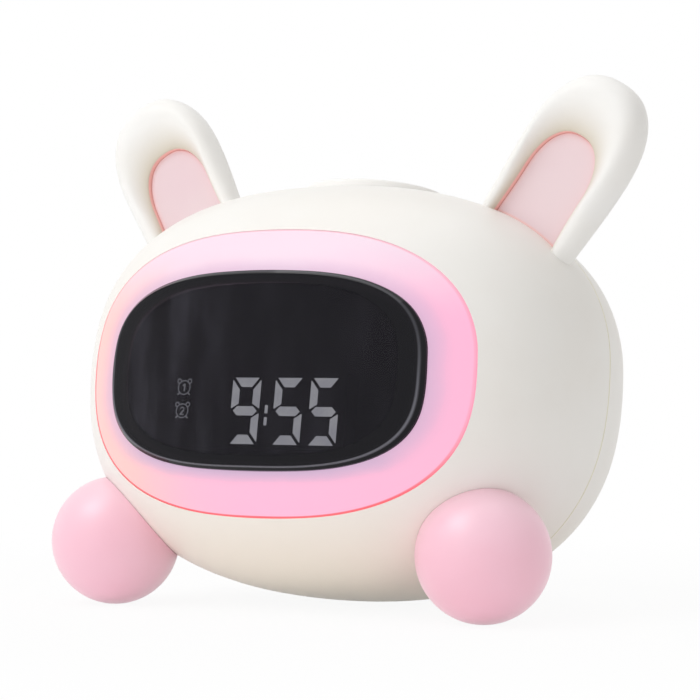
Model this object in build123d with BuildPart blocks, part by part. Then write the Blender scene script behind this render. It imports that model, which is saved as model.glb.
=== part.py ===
from build123d import *

import os
from math import asin, cos, degrees, pi, radians, sin

# Kids alarm clock with night light: an egg-like bunny body, tilted back, on two balls.
# Frame: +X across, +Z up, and the face looks towards -Y.  The origin lies on the floor,
# under the middle of the clock.  "Left" is -X, the left of someone who reads the clock.
# Most pieces are laid out in the body's own frame, which leans back with the body:
# x across, y towards the back, z up the body, all from the body's centre.
# A "depth" is a distance from the seam towards the face, so the back has depths below 0.

# ------------------------------------------------------------------ driving dimensions
# Body (mm, degrees)
body_half_width = 84.8
body_top = 61.0
body_bottom = 67.2
front_depth = 67.6
rear_depth = 62.0
back_flat = 53.0            # centre to the flat back panel
section_power = 2.40        # squareness of the body seen from the front
front_power = 2.76          # squareness of the front half seen from above
rear_power = 2.00
lean = 9.7                  # how far the body leans back
body_centre_y = 6.3         # sets the origin under the middle of the clock
wall = 2.2
seam_gap = 0.25
lip_reach = 4.0             # the rear shell's lip inside the front shell
rear_sections = 6           # sections that the form is lofted through, behind the seam
front_sections = 9          # and before it
front_end = 82.0            # the form's front ends flat at this angle, behind the lens

# Clearances
fit = 0.1                   # between pieces that are held against each other
slide = 0.3                 # round a piece that moves
thread_room = 0.05          # between a screw and the hole that it cuts its thread in
screw_room = 0.25           # round a screw in its clearance hole

# Light ring
ring_half_width = 66.8
ring_rise = 41.9
ring_drop = 44.5
ring_power = 2.5
ring_centre = -3.4
ring_thickness = 4.0
ring_flange = 3.0           # how far the ring reaches behind the shell and under the lens
ring_gap = 0.3              # fine gap between ring and shell

# Lens
lens_half_width = 54.5
lens_rise = 29.5
lens_drop = 30.0
lens_power = 2.9
lens_centre = -4.7
lens_depth = 68.65          # foremost point of its dome
lens_radius_across = 215.0
lens_radius_up = 250.0
lens_dome_centre = 4.4
lens_thickness = 2.2
lens_skirt = 2.0
lens_bevel = 1.2

# Figures
digit_height = 19.9
digit_width = 9.7
digit_bar = 2.75            # bars that lie across
digit_post = 2.35           # bars that stand
digit_gap = 0.8             # half of the gap between two bars
digit_pitch = 12.3
colon_room = 2.6            # more between the digits where the colon stands
digit_middle = -16.45
digit_right = 21.7          # centre of the last digit
colon_x = 1.95
colon_width = 0.8
colon_height = 2.4
colon_pitch = 3.6
colon_middle = -17.7
figure_thickness = 0.4
icon_x = -27.8
icon_radius = 2.1
icon_line = 0.32
icon_upper = -9.6
icon_pitch = 7.1
icon_number_width = 1.2
icon_number_height = 2.1
icon_bell = 0.75
icon_spread = 42.0

# Display and what carries it
display_depth = 60.0
display_thickness = 8.0
display_left = -33.0
display_right = 29.0
display_low = -28.0
display_high = -5.0
carrier_floor_depth = 52.0
carrier_floor = 1.5
carrier_wall = 2.0
carrier_offset = 2.5        # carrier's outside beyond the lens's outline
carrier_shoulder = 4.0
carrier_shoulder_thickness = 1.8

# Light board
light_board_depth = 42.8
light_board_inset = 1.0     # its edge inside the ring's
board_thin = 1.2
led_count = 18
led_length = 3.5
led_width = 2.8
led_height = 1.6

# Inner frame and what stands on its back
frame_depth = 3.0           # its front face
frame_thickness = 2.0
frame_half_width = 78.0
frame_rise = 44.5
frame_drop = 58.0
board_thick = 1.6
main_board_width = 84.0
main_board_height = 40.0
main_board_centre = 18.0
standoff_height = 6.0
standoff_radius = 3.0
standoff_inset = 4.0
cable_thickness = 0.6
display_cable_width = 22.0
light_cable_width = 8.0
light_cable_x = 30.0
light_cable_room = 1.5
cable_window_room = 1.0

# Battery
cell_radius = 9.2
cell_length = 65.0
cell_z = -30.0
cell_edge = 1.0
holder_wall = 2.0
holder_end = 3.0

# Screws
case_screw_places = [(-67.0, 22.0), (67.0, 22.0), (-44.0, -48.0), (44.0, -48.0)]
post_radius = 4.4
case_screw_radius = 1.5
case_screw_head_radius = 2.75
case_screw_head = 2.0
case_screw_seat = 12.0      # from the seam back to the seat of its head
case_screw_bite = 12.0      # its length in the front post
carrier_boss_radius = 3.6
carrier_boss_x = 44.0
carrier_boss_z = 19.5       # above and below the lens's middle
carrier_screw_bite = 8.0
small_screw_radius = 1.0
small_screw_head_radius = 1.75
small_screw_head = 1.2
small_screw_length = 4.5
small_boss_radius = 2.5

# Top button
button_radius = 22.4
button_y = -2.5
button_proud = 1.3          # its rim above the body's crown
button_dome = 0.9           # its middle above its rim
button_edge = 0.8
button_wall = 2.2
button_depth = 10.0         # rim to the lower end of its skirt
button_catch = 1.5
button_travel = 1.2
guide_wall = 2.0
guide_floor = 1.5
guide_lip = 6.4             # how deep the guide's lip is below the body's crown
guide_depth = 14.0          # crown to the guide's underside
button_board_width = 24.0
button_board_depth = 16.0
switch_width = 6.0
switch_height = 4.3
stem_radius = 2.2

# Keys on the back
key_radius = 4.5
key_proud = 1.2
key_edge = 0.5
key_flange = 1.5
key_flange_thickness = 1.0
key_stem = 2.0
key_stem_radius = 1.6
key_travel = 0.6
key_pitch = 14.0
key_z = 15.0
key_switch_height = 3.5
key_board_width = 80.0
key_board_height = 14.0
key_post_x = 37.0
mark_size = 3.6
mark_line = 0.8
mark_deep = 0.25

# Speaker
speaker_z = -13.0
speaker_radius = 18.0
speaker_rim = 3.0
speaker_flange = 1.0
speaker_basket = 6.8
basket_step = 1.0           # thickness of the basket's floor and sides
cone_rise = 2.0             # basket's floor to the cone's apex
magnet_radius = 10.0
magnet_height = 7.0
gasket_thickness = 1.0
rib_wall = 1.5
rib_height = 5.8
cone_thickness = 0.5
grille_hole_radius = 0.9
grille_pitch = 4.0
grille_rings = 3

# USB socket
usb_x = 28.0
usb_z = -21.0
usb_width = 8.9
usb_height = 3.2
usb_length = 7.3
usb_recess = 0.5
usb_shell = 0.3
usb_floor = 1.0             # the socket's closed end, and its tongue's distance from the mouth
usb_tongue = 0.7
usb_board_width = 14.0
usb_board_length = 15.0
shelf_thickness = 2.0

# Ears, in the ear's own frame: u across, v along the ear, w out of its face
ear_lean = 31.5
ear_offset = 26.2           # ear's centre line from the body's centre, across the ear
ear_half_width = 18.0
ear_widest = 96.0
ear_tip = 28.0              # widest line to the tip
ear_foot = 58.0
ear_foot_half_width = 16.8
ear_thickness = 18.0
ear_forward = ear_thickness / 2 + fit   # ear's middle plane in front of the seam
ear_round_front = 4.0
ear_round_back = 8.0
dish_inset = 3.4
dish_depth = 5.4
panel_shift = -0.6
panel_half_width = 12.8
panel_foot_half_width = 13.3
panel_widest = 87.0
panel_tip = 18.0
panel_thickness = 1.4
neck_half_width = 8.0
neck_thickness = 4.8
neck_low = 61.5
neck_collar = 4.0
neck_collar_thickness = 9.0

# Ball feet
ball_radius = 20.0
ball_x = 64.84
ball_y = -43.96             # from the body's centre, level
ball_drop = 47.7            # below the body's centre, plumb
ball_flat = 0.2
ball_wall = 2.5
ball_boss_radius = 4.5
foot_pad_radius = 5.0
foot_screw_seat = 12.5      # ball's centre to the seat of the screw's head
foot_screw_length = 13.0
foot_bore_room = 1.0        # the screw's hole is longer than the screw

# Rubber feet under the back
rubber_radius = 7.0
rubber_x = 22.0
rubber_y = 22.0             # behind the body's centre, level
rubber_height = 7.0
rubber_edge = 1.0
rubber_socket_wall = 2.0

# ------------------------------------------------------------------ frames and outlines
body_centre_z = ball_drop + ball_radius - ball_flat
head = Plane(
    origin=(0, body_centre_y, body_centre_z),
    x_dir=(1, 0, 0),
    z_dir=(0, sin(radians(lean)), cos(radians(lean))),
)
front_reach = front_depth + lens_depth


def in_head(x, y, z):
    """A point of the body's own frame, in the clock's frame."""
    return head.from_local_coords((x, y, z))


def facing(depth, x=0.0, z=0.0):
    """A sketch plane that looks out of the face: x across, y up the body."""
    return Plane(origin=in_head(x, -depth, z), x_dir=(1, 0, 0), z_dir=-head.y_dir)


def oval(half_width, rise, drop, power, centre=0.0, points=32):
    """A superellipse outline, flat: rise above its centre, drop below it."""
    outline = []
    for step in range(points):
        angle = 2 * pi * (step + 0.5) / points
        across = abs(cos(angle)) ** (2 / power)
        up = abs(sin(angle)) ** (2 / power)
        x = half_width * across * (1 if cos(angle) > 0 else -1)
        y = rise * up if sin(angle) > 0 else -drop * up
        outline.append((x, y + centre))
    with BuildSketch() as flat:
        with BuildLine():
            Spline(*outline, periodic=True)
        make_face()
    return flat.sketch


def ring_oval(grow=0.0):
    """The light ring's outer outline."""
    return oval(
        ring_half_width + grow, ring_rise + grow, ring_drop + grow, ring_power, ring_centre
    )


def lens_oval(grow=0.0):
    """The lens's outline."""
    return oval(
        lens_half_width + grow, lens_rise + grow, lens_drop + grow, lens_power, lens_centre
    )


def frame_oval():
    """The inner frame's outline."""
    return oval(frame_half_width, frame_rise, frame_drop, section_power)


def body_form(grow=0.0):
    """The egg form of the body as one solid, grown all round, or shrunk below 0."""
    back = back_flat + grow
    back_radius = rear_depth + grow
    front_radius = front_depth + grow
    rear_end = degrees(asin((back / back_radius) ** (rear_power / 2)))
    sections = []
    for step in range(rear_sections, 0, -1):
        angle = radians(rear_end * step / rear_sections)
        depth = -back_radius * sin(angle) ** (2 / rear_power)
        sections.append((depth, cos(angle) ** (2 / rear_power)))
    for step in range(front_sections + 1):
        angle = radians(front_end * step / front_sections)
        depth = front_radius * sin(angle) ** (2 / front_power)
        sections.append((depth, cos(angle) ** (2 / front_power)))
    with BuildPart() as form:
        for depth, scale in sections:
            half_width = (body_half_width + grow) * scale
            rise = (body_top + grow) * scale
            drop = (body_bottom + grow) * scale
            with BuildSketch(facing(depth)):
                add(oval(half_width, rise, drop, section_power))
        loft()
    return form.part


def slab(outline, low, high):
    """An outline made solid between two depths."""
    with BuildPart() as block:
        with BuildSketch(facing(low)):
            add(outline)
        extrude(amount=high - low)
    return block.part


def rods(places, radius, low, high):
    """Round rods along the depth, at places (x, z) of the body's frame."""
    with BuildPart() as group:
        with BuildSketch(facing(low)):
            with Locations(*places):
                Circle(radius)
        extrude(amount=high - low)
    return group.part


def block(x, z, width, height, low, high):
    """A block between two depths, centred at x, z of the body's frame."""
    with BuildPart() as solid:
        with BuildSketch(facing(low, x, z)):
            Rectangle(width, height)
        extrude(amount=high - low)
    return solid.part


def screw(seat, shank_radius, length, head_radius, head_height):
    """A pan-head screw: its head stands on the seat plane, its shank goes below it."""
    with BuildPart() as fastener:
        with BuildSketch(seat):
            Circle(head_radius)
        extrude(amount=head_height)
        fillet(fastener.edges().group_by(SortBy.LENGTH)[-1].sort_by(
            Axis(seat.origin, seat.z_dir))[-1], head_height / 3)
        with BuildSketch(seat):
            Circle(shank_radius)
        extrude(amount=-length)
        with BuildSketch(seat.offset(head_height)):
            Rectangle(head_radius, head_radius / 5)
            Rectangle(head_radius / 5, head_radius)
        extrude(amount=-head_height / 2, mode=Mode.SUBTRACT)
    return fastener.part


def small_screw(seat):
    """One of the small screws that hold the boards."""
    return screw(
        seat, small_screw_radius, small_screw_length, small_screw_head_radius, small_screw_head
    )


def save(piece, name):
    """Label a finished piece and write it."""
    piece.label = name
    export_step(piece, f"parts/{name}.step")


os.makedirs("parts", exist_ok=True)

body = body_form()
body_core = body_form(-wall / 2)
body_inside = body_form(-wall)
under_wall = body_form(-wall - fit)
under_ring = body_form(-ring_thickness)
behind_ring = body_form(-ring_thickness - fit)
seat_form = body_form(fit)

# ------------------------------------------------------------------ light ring and lens
with BuildPart() as light_ring:
    add(slab(ring_oval(-ring_gap), 0, front_reach))
    add(slab(lens_oval(fit), 0, front_reach), mode=Mode.SUBTRACT)
    add(body, mode=Mode.INTERSECT)
    with BuildPart(mode=Mode.PRIVATE) as flange:
        add(slab(ring_oval(ring_flange), 0, front_reach))
        add(slab(lens_oval(-ring_flange), 0, front_reach), mode=Mode.SUBTRACT)
        add(under_wall, mode=Mode.INTERSECT)
    add(flange.part)
    add(under_ring, mode=Mode.SUBTRACT)
save(light_ring.part, "light_ring")

# The lens is a piece of a large torus, so it is domed across and up
dome_plane = Plane(origin=head.origin, x_dir=-head.y_dir, z_dir=(-1, 0, 0))
dome_axis = Axis(
    in_head(0, -(lens_depth - lens_radius_across), 0),
    head.z_dir,
)


def dome(inset):
    """The solid behind the lens's dome, or behind a face inset from it."""
    front = lens_depth - inset
    radius = lens_radius_up - inset
    half_height = lens_rise + lens_drop
    back = front - lens_radius_across / 4
    centre = (lens_depth - lens_radius_up, lens_dome_centre)
    angle = degrees(asin(half_height / radius))
    with BuildPart() as solid:
        with BuildSketch(dome_plane):
            with BuildLine():
                face = CenterArc(centre, radius, -angle, 2 * angle)
                Polyline(face @ 1, (back, (face @ 1).Y), (back, (face @ 0).Y), face @ 0)
            make_face()
        revolve(axis=dome_axis)
    return solid.part


with BuildPart() as display_lens:
    add(slab(lens_oval(), 0, front_reach))
    add(dome(0), mode=Mode.INTERSECT)
    front_rim = display_lens.faces().sort_by(Axis(head.origin, -head.y_dir))[-1].edges()
    chamfer(front_rim, lens_bevel)
    with BuildPart(mode=Mode.PRIVATE) as hollow:
        add(slab(lens_oval(-lens_skirt), 0, front_reach))
        add(dome(lens_thickness), mode=Mode.INTERSECT)
    add(hollow.part, mode=Mode.SUBTRACT)
    add(body_inside, mode=Mode.SUBTRACT)
save(display_lens.part, "display_lens")

# ------------------------------------------------------------------ display
carrier_places = [
    (side * carrier_boss_x, lens_centre + level * carrier_boss_z)
    for side in (-1, 1)
    for level in (-1, 1)
]
light_screw_places = [
    (lens_half_width + carrier_offset + carrier_shoulder / 2, lens_centre),
    (-lens_half_width - carrier_offset - carrier_shoulder / 2, lens_centre),
    (0, lens_centre + lens_rise + carrier_offset + carrier_shoulder / 2),
    (0, lens_centre - lens_drop - carrier_offset - carrier_shoulder / 2),
]
display_x = (display_left + display_right) / 2
display_z = (display_low + display_high) / 2
display_width = display_right - display_left
display_height = display_high - display_low
carrier_inside = carrier_offset - carrier_wall
shoulder_back = light_board_depth - carrier_shoulder_thickness

with BuildPart() as display_carrier:
    add(slab(lens_oval(carrier_offset), frame_depth, front_reach))
    add(behind_ring, mode=Mode.INTERSECT)
    add(slab(lens_oval(carrier_inside), 0, front_reach), mode=Mode.SUBTRACT)
    add(slab(lens_oval(carrier_inside + fit), carrier_floor_depth,
             carrier_floor_depth + carrier_floor))
    add(rods(carrier_places, carrier_boss_radius, frame_depth,
             frame_depth + carrier_screw_bite + carrier_wall))
    with BuildPart(mode=Mode.PRIVATE) as shoulder:
        add(slab(lens_oval(carrier_offset + carrier_shoulder), shoulder_back,
                 light_board_depth))
        add(slab(lens_oval(carrier_inside + fit), 0, front_reach), mode=Mode.SUBTRACT)
    add(shoulder.part)
    add(block(display_x, display_z, display_width + 2 * fit, display_height + 2 * fit,
              0, front_reach), mode=Mode.SUBTRACT)
    add(rods(carrier_places, case_screw_radius + thread_room, frame_depth,
             frame_depth + carrier_screw_bite + thread_room), mode=Mode.SUBTRACT)
    add(rods(light_screw_places, small_screw_radius + thread_room, shoulder_back,
             light_board_depth), mode=Mode.SUBTRACT)
save(display_carrier.part, "display_carrier")

with BuildPart() as display_module:
    add(block(display_x, display_z, display_width, display_height,
              display_depth - display_thickness, display_depth))
save(display_module.part, "display_module")


def segment(digit_x, name):
    """One bar of a seven-bar digit, with mitred ends, drawn flat."""
    left = digit_x - digit_width / 2
    right = digit_x + digit_width / 2
    low = digit_middle - digit_height / 2
    high = digit_middle + digit_height / 2
    gap = digit_gap
    half = digit_bar / 2
    bars = {
        "top": [
            (left + gap, high), (right - gap, high),
            (right - digit_post - gap, high - digit_bar),
            (left + digit_post + gap, high - digit_bar),
        ],
        "bottom": [
            (left + gap, low), (right - gap, low),
            (right - digit_post - gap, low + digit_bar),
            (left + digit_post + gap, low + digit_bar),
        ],
        "middle": [
            (left + gap + half, digit_middle + half), (right - gap - half, digit_middle + half),
            (right - gap, digit_middle), (right - gap - half, digit_middle - half),
            (left + gap + half, digit_middle - half), (left + gap, digit_middle),
        ],
    }
    for side, edge, inward in (("left", left, 1), ("right", right, -1)):
        for end, outer, down in (("upper", high, 1), ("lower", low, -1)):
            inner = edge + inward * digit_post
            bars[f"{end} {side}"] = [
                (edge, outer - down * gap), (inner, outer - down * (digit_bar + gap)),
                (inner, digit_middle + down * (half + gap)), (edge, digit_middle + down * gap),
            ]
    return bars[name]


nine = ["top", "upper left", "upper right", "middle", "lower right", "bottom"]
five = ["top", "upper left", "middle", "lower right", "bottom"]
first_digit = digit_right - 2 * digit_pitch - colon_room
shown = [(first_digit, nine), (digit_right - digit_pitch, five), (digit_right, five)]

with BuildPart() as digit_segments:
    with BuildSketch(facing(display_depth)):
        for digit_x, bars in shown:
            for bar in bars:
                with BuildLine():
                    Polyline(*segment(digit_x, bar), close=True)
                make_face()
    extrude(amount=figure_thickness)
save(digit_segments.part, "digit_segments")

with BuildPart() as colon_dashes:
    with BuildSketch(facing(display_depth, colon_x, colon_middle)):
        with GridLocations(0, colon_pitch, 1, 2):
            Rectangle(colon_width, colon_height)
    extrude(amount=figure_thickness)
save(colon_dashes.part, "colon_dashes")

# Each icon is a small alarm clock: a ring, two bells, two feet and its number
one = [(0, 0, 0, 1)]
two = [(0, 1, 1, 0), (1, 0.5, 0, 0.5), (0, 0, 1, 0), (-1, -0.5, 0, 0.5), (0, -1, 1, 0)]
with BuildPart() as alarm_icons:
    for count, strokes in ((0, one), (1, two)):
        with BuildSketch(facing(display_depth, icon_x, icon_upper - count * icon_pitch)):
            Circle(icon_radius)
            Circle(icon_radius - icon_line, mode=Mode.SUBTRACT)
            for across, up, half_width, half_height in strokes:
                with Locations((across * icon_number_width / 2, up * icon_number_height / 2)):
                    Rectangle(half_width * icon_number_width + icon_line,
                              half_height * icon_number_height + icon_line)
            with PolarLocations(icon_radius + icon_bell, 2, 90 - icon_spread, 2 * icon_spread,
                                endpoint=True):
                Circle(icon_bell - icon_line / 2)
            with PolarLocations(icon_radius + icon_bell, 2, 270 - icon_spread,
                                2 * icon_spread, endpoint=True):
                Rectangle(icon_bell, icon_line)
        extrude(amount=figure_thickness)
save(alarm_icons.part, "alarm_icons")

# ------------------------------------------------------------------ light board
light_board_inside = carrier_offset + fit
with BuildPart() as light_board:
    add(slab(ring_oval(-light_board_inset), light_board_depth,
             light_board_depth + board_thin))
    add(slab(lens_oval(light_board_inside), 0, front_reach), mode=Mode.SUBTRACT)
    add(rods(light_screw_places, small_screw_radius + screw_room, 0, front_reach),
        mode=Mode.SUBTRACT)
save(light_board.part, "light_board")

led_half_width = (lens_half_width + light_board_inside + ring_half_width) / 2
led_rise = (lens_centre + lens_rise + light_board_inside + ring_centre + ring_rise) / 2
led_drop = (-lens_centre + lens_drop + light_board_inside - ring_centre + ring_drop) / 2
with BuildPart() as ring_leds:
    with BuildSketch(facing(light_board_depth + board_thin)):
        for count in range(led_count):
            angle = 2 * pi * (count + 0.5) / led_count
            across = led_half_width * abs(cos(angle)) ** (2 / lens_power)
            up = (led_rise if sin(angle) > 0 else led_drop) * abs(sin(angle)) ** (2 / lens_power)
            place = (across if cos(angle) > 0 else -across, up if sin(angle) > 0 else -up)
            with Locations(place):
                Rectangle(led_length, led_width)
    extrude(amount=led_height)
save(ring_leds.part, "ring_leds")

# ------------------------------------------------------------------ inner frame
frame_back = frame_depth - frame_thickness
light_cable_z = lens_centre + lens_rise + carrier_offset + carrier_shoulder + light_cable_room
main_board_front = frame_back - standoff_height
main_board_back = main_board_front - board_thick
standoff_places = [
    (side * (main_board_width / 2 - standoff_inset),
     main_board_centre + level * (main_board_height / 2 - standoff_inset))
    for side in (-1, 1)
    for level in (-1, 1)
]
with BuildPart() as inner_frame:
    add(slab(frame_oval(), frame_back, frame_depth))
    add(rods(standoff_places, standoff_radius, main_board_front, frame_back))
    add(rods(case_screw_places, case_screw_radius + screw_room, frame_back, frame_depth),
        mode=Mode.SUBTRACT)
    add(rods(carrier_places, case_screw_radius + screw_room, frame_back, frame_depth),
        mode=Mode.SUBTRACT)
    add(rods(standoff_places, small_screw_radius + thread_room, main_board_front, frame_back),
        mode=Mode.SUBTRACT)
    add(block(display_x, display_z, display_cable_width + 2 * cable_window_room,
              cable_thickness + 2 * cable_window_room, frame_back, frame_depth),
        mode=Mode.SUBTRACT)
    add(block(light_cable_x, light_cable_z, light_cable_width + 2 * cable_window_room,
              cable_thickness + 2 * cable_window_room, frame_back, frame_depth),
        mode=Mode.SUBTRACT)
save(inner_frame.part, "inner_frame")

with BuildPart() as main_board:
    add(block(0, main_board_centre, main_board_width, main_board_height,
              main_board_back, main_board_front))
    add(rods(standoff_places, small_screw_radius + screw_room, main_board_back,
             main_board_front), mode=Mode.SUBTRACT)
save(main_board.part, "main_board")

# Chips, coils and sockets on the back of the main board: x, z, width, height, thickness
chip_layout = [
    (-20.0, 20.0, 12.0, 12.0, 1.6),
    (2.0, 24.0, 8.0, 6.0, 1.5),
    (2.0, 12.0, 5.0, 4.0, 1.2),
    (20.0, 22.0, 6.0, 6.0, 3.0),
    (30.0, 12.0, 10.0, 5.0, 5.0),
    (-32.0, 6.0, 8.0, 5.0, 5.0),
    (16.0, 6.0, 8.0, 5.0, 5.0),
    (-6.0, 32.0, 10.0, 4.0, 2.5),
]
with BuildPart() as main_chips:
    for x, z, width, height, thickness in chip_layout:
        add(block(x, z, width, height, main_board_back - thickness, main_board_back))
save(main_chips.part, "main_chips")

with BuildPart() as display_cable:
    add(block(display_x, display_z, display_cable_width, cable_thickness,
              main_board_front, display_depth - display_thickness))
save(display_cable.part, "display_cable")

with BuildPart() as light_cable:
    add(block(light_cable_x, light_cable_z, light_cable_width, cable_thickness,
              main_board_front, light_board_depth))
save(light_cable.part, "light_cable")

# ------------------------------------------------------------------ battery
cell_depth = frame_back - holder_wall - cell_radius - fit
holder_half_length = cell_length / 2 + fit + holder_end
cell_axis_plane = Plane(
    origin=in_head(-holder_half_length, -cell_depth, cell_z),
    x_dir=head.y_dir,
    z_dir=(1, 0, 0),
)
with BuildPart() as battery_holder:
    add(block(0, cell_z, 2 * holder_half_length, 2 * (cell_radius + holder_wall),
              cell_depth, frame_back))
    with BuildSketch(cell_axis_plane.offset(holder_end)):
        Circle(cell_radius + fit)
    extrude(amount=cell_length + 2 * fit, mode=Mode.SUBTRACT)
    for side in (-1, 1):
        end_x = side * (holder_half_length - holder_end / 2)
        add(block(end_x, cell_z, holder_end, 2 * (cell_radius + holder_wall),
                  cell_depth - cell_radius, frame_back))
save(battery_holder.part, "battery_holder")

with BuildPart() as battery_cell:
    with BuildSketch(cell_axis_plane.offset(holder_end + fit)):
        Circle(cell_radius)
    extrude(amount=cell_length)
    fillet(battery_cell.edges(), cell_edge)
save(battery_cell.part, "battery_cell")

# ------------------------------------------------------------------ top button
def over_crown(height):
    """A plane across the body's upright axis, a height above the crown."""
    return Plane(
        origin=in_head(0, button_y, body_top + height), x_dir=(1, 0, 0), z_dir=head.z_dir
    )


button_low = button_proud - button_depth
catch_radius = button_radius + button_catch
guide_bore = button_radius + slide
guide_cavity = catch_radius + slide
guide_radius = guide_cavity + guide_wall
switch_top = -guide_depth + guide_floor + board_thin + switch_height
button_screw_x = button_board_width / 2 - standoff_inset
dome_radius = (button_radius**2 + button_dome**2) / (2 * button_dome)
with BuildPart() as top_button:
    with BuildSketch(over_crown(button_low)):
        Circle(button_radius)
    extrude(amount=button_depth + button_dome)
    with Locations(over_crown(button_proud + button_dome - dome_radius).location):
        Sphere(dome_radius, mode=Mode.INTERSECT)
    rims = top_button.edges().filter_by(GeomType.CIRCLE).group_by(SortBy.RADIUS)[0]
    fillet(rims.sort_by(Axis(head.origin, head.z_dir))[-1], button_edge)
    with BuildSketch(over_crown(button_low)):
        Circle(button_radius - button_wall)
    extrude(amount=button_depth - button_wall, mode=Mode.SUBTRACT)
    with BuildSketch(over_crown(button_low)):
        Circle(catch_radius)
        Circle(button_radius - button_wall, mode=Mode.SUBTRACT)
    extrude(amount=button_wall)
    stem_low = switch_top + button_travel + fit
    with BuildSketch(over_crown(stem_low)):
        Circle(stem_radius)
    extrude(amount=button_proud - button_wall / 2 - stem_low)
save(top_button.part, "top_button")

with BuildPart() as button_guide:
    with BuildSketch(over_crown(-guide_depth)):
        Circle(guide_radius)
    extrude(amount=guide_depth)
    add(under_wall, mode=Mode.INTERSECT)
    with BuildSketch(over_crown(-guide_depth + guide_floor)):
        Circle(guide_bore)
    extrude(amount=guide_depth, mode=Mode.SUBTRACT)
    with BuildSketch(over_crown(-guide_depth + guide_floor)):
        Circle(guide_cavity)
    extrude(amount=guide_depth - guide_floor - guide_lip, mode=Mode.SUBTRACT)
    with BuildSketch(over_crown(-guide_depth)):
        with GridLocations(2 * button_screw_x, 0, 2, 1):
            Circle(small_screw_radius + thread_room)
    extrude(amount=guide_floor, mode=Mode.SUBTRACT)
save(button_guide.part, "button_guide")

with BuildPart() as button_board:
    with BuildSketch(over_crown(-guide_depth + guide_floor)):
        Rectangle(button_board_width, button_board_depth)
        with GridLocations(2 * button_screw_x, 0, 2, 1):
            Circle(small_screw_radius + screw_room, mode=Mode.SUBTRACT)
    extrude(amount=board_thin)
save(button_board.part, "button_board")

with BuildPart() as button_switch:
    with BuildSketch(over_crown(switch_top - switch_height)):
        Rectangle(switch_width, switch_width)
    extrude(amount=switch_height)
save(button_switch.part, "button_switch")

# ------------------------------------------------------------------ ears
ear_across = (cos(radians(ear_lean)), 0, -sin(radians(ear_lean)))
ear_plane = Plane(
    origin=in_head(ear_offset * ear_across[0], -ear_forward, ear_offset * ear_across[2]),
    x_dir=in_head(*ear_across) - head.origin,
    z_dir=-head.y_dir,
)
# The neck's back is in line with the ear's, just in front of the seam
neck_plane = ear_plane.offset((neck_thickness - ear_thickness) / 2)


def petal(half_width, widest, tip, foot_half_width, shift=0.0):
    """An ear's outline, flat: a half ellipse on two sides that close in a little."""
    with BuildSketch() as flat:
        with BuildLine():
            EllipticalCenterArc((shift, widest), half_width, tip, 0, arc_size=180)
            right = Spline(
                (shift + half_width, widest), (shift + foot_half_width, ear_foot),
                tangents=((0, -1), (0, -1)),
            )
            left = Spline(
                (shift - half_width, widest), (shift - foot_half_width, ear_foot),
                tangents=((0, -1), (0, -1)),
            )
            Line(right @ 1, left @ 1)
        make_face()
    return flat.sketch


def ear_petal(inset=0.0):
    """The ear's outline, drawn in by inset."""
    return petal(ear_half_width - inset, ear_widest, ear_tip - inset,
                 ear_foot_half_width - inset)


def panel_petal(grow=0.0):
    """The outline of the coloured panel inside the ear."""
    return petal(panel_half_width + grow, panel_widest, panel_tip + grow,
                 panel_foot_half_width + grow, panel_shift)


panel_face = ear_thickness / 2 - dish_depth
with BuildPart() as right_ear_shell:
    with BuildSketch(ear_plane.offset(-ear_thickness / 2)):
        add(ear_petal())
    extrude(amount=ear_thickness)
    ear_axis_out = Axis(ear_plane.origin, ear_plane.z_dir)
    ear_back = right_ear_shell.faces().sort_by(ear_axis_out)[0]
    fillet(ear_back.edges().filter_by(GeomType.LINE, reverse=True), ear_round_back)
    ear_front = right_ear_shell.faces().sort_by(ear_axis_out)[-1]
    fillet(ear_front.edges().filter_by(GeomType.LINE, reverse=True), ear_round_front)
    with BuildPart(mode=Mode.PRIVATE) as dish:
        with BuildSketch(ear_plane.offset(panel_face)):
            add(panel_petal())
        with BuildSketch(ear_plane.offset(ear_thickness / 2 + fit)):
            add(ear_petal(dish_inset))
        loft(ruled=True)
    add(dish.part, mode=Mode.SUBTRACT)
    with BuildSketch(ear_plane.offset(panel_face - panel_thickness)):
        add(panel_petal())
    extrude(amount=panel_thickness + fit, mode=Mode.SUBTRACT)
    add(seat_form, mode=Mode.SUBTRACT)
    with BuildPart(mode=Mode.PRIVATE) as neck:
        with BuildSketch(neck_plane.offset(-neck_thickness / 2)):
            with Locations((0, (neck_low + ear_widest) / 2)):
                Rectangle(2 * neck_half_width, ear_widest - neck_low)
        extrude(amount=neck_thickness)
        add(body_form(fit + wall), mode=Mode.INTERSECT)
        with BuildPart(mode=Mode.PRIVATE) as collar:
            with BuildSketch(neck_plane.offset(-neck_collar_thickness / 2)):
                with Locations((0, (neck_low + ear_widest) / 2)):
                    Rectangle(2 * (neck_half_width + neck_collar), ear_widest - neck_low)
            extrude(amount=neck_collar_thickness)
            add(behind_ring, mode=Mode.INTERSECT)
        add(collar.part)
        with BuildSketch(ear_plane.offset(panel_face - panel_thickness)):
            add(panel_petal(fit))
        extrude(amount=ear_thickness, mode=Mode.SUBTRACT)
    add(neck.part)
save(right_ear_shell.part, "right_ear_shell")

with BuildPart() as right_ear_panel:
    with BuildSketch(ear_plane.offset(panel_face - panel_thickness)):
        add(panel_petal(-fit))
    extrude(amount=panel_thickness)
    add(seat_form, mode=Mode.SUBTRACT)
save(right_ear_panel.part, "right_ear_panel")


def mirrored(piece):
    """The same piece on the other side of the clock."""
    return mirror(piece, about=Plane.YZ, mode=Mode.PRIVATE)


save(mirrored(right_ear_shell.part), "left_ear_shell")
save(mirrored(right_ear_panel.part), "left_ear_panel")

# ------------------------------------------------------------------ ball feet
ball_centre = Vector(ball_x, body_centre_y + ball_y, body_centre_z - ball_drop)


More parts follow.
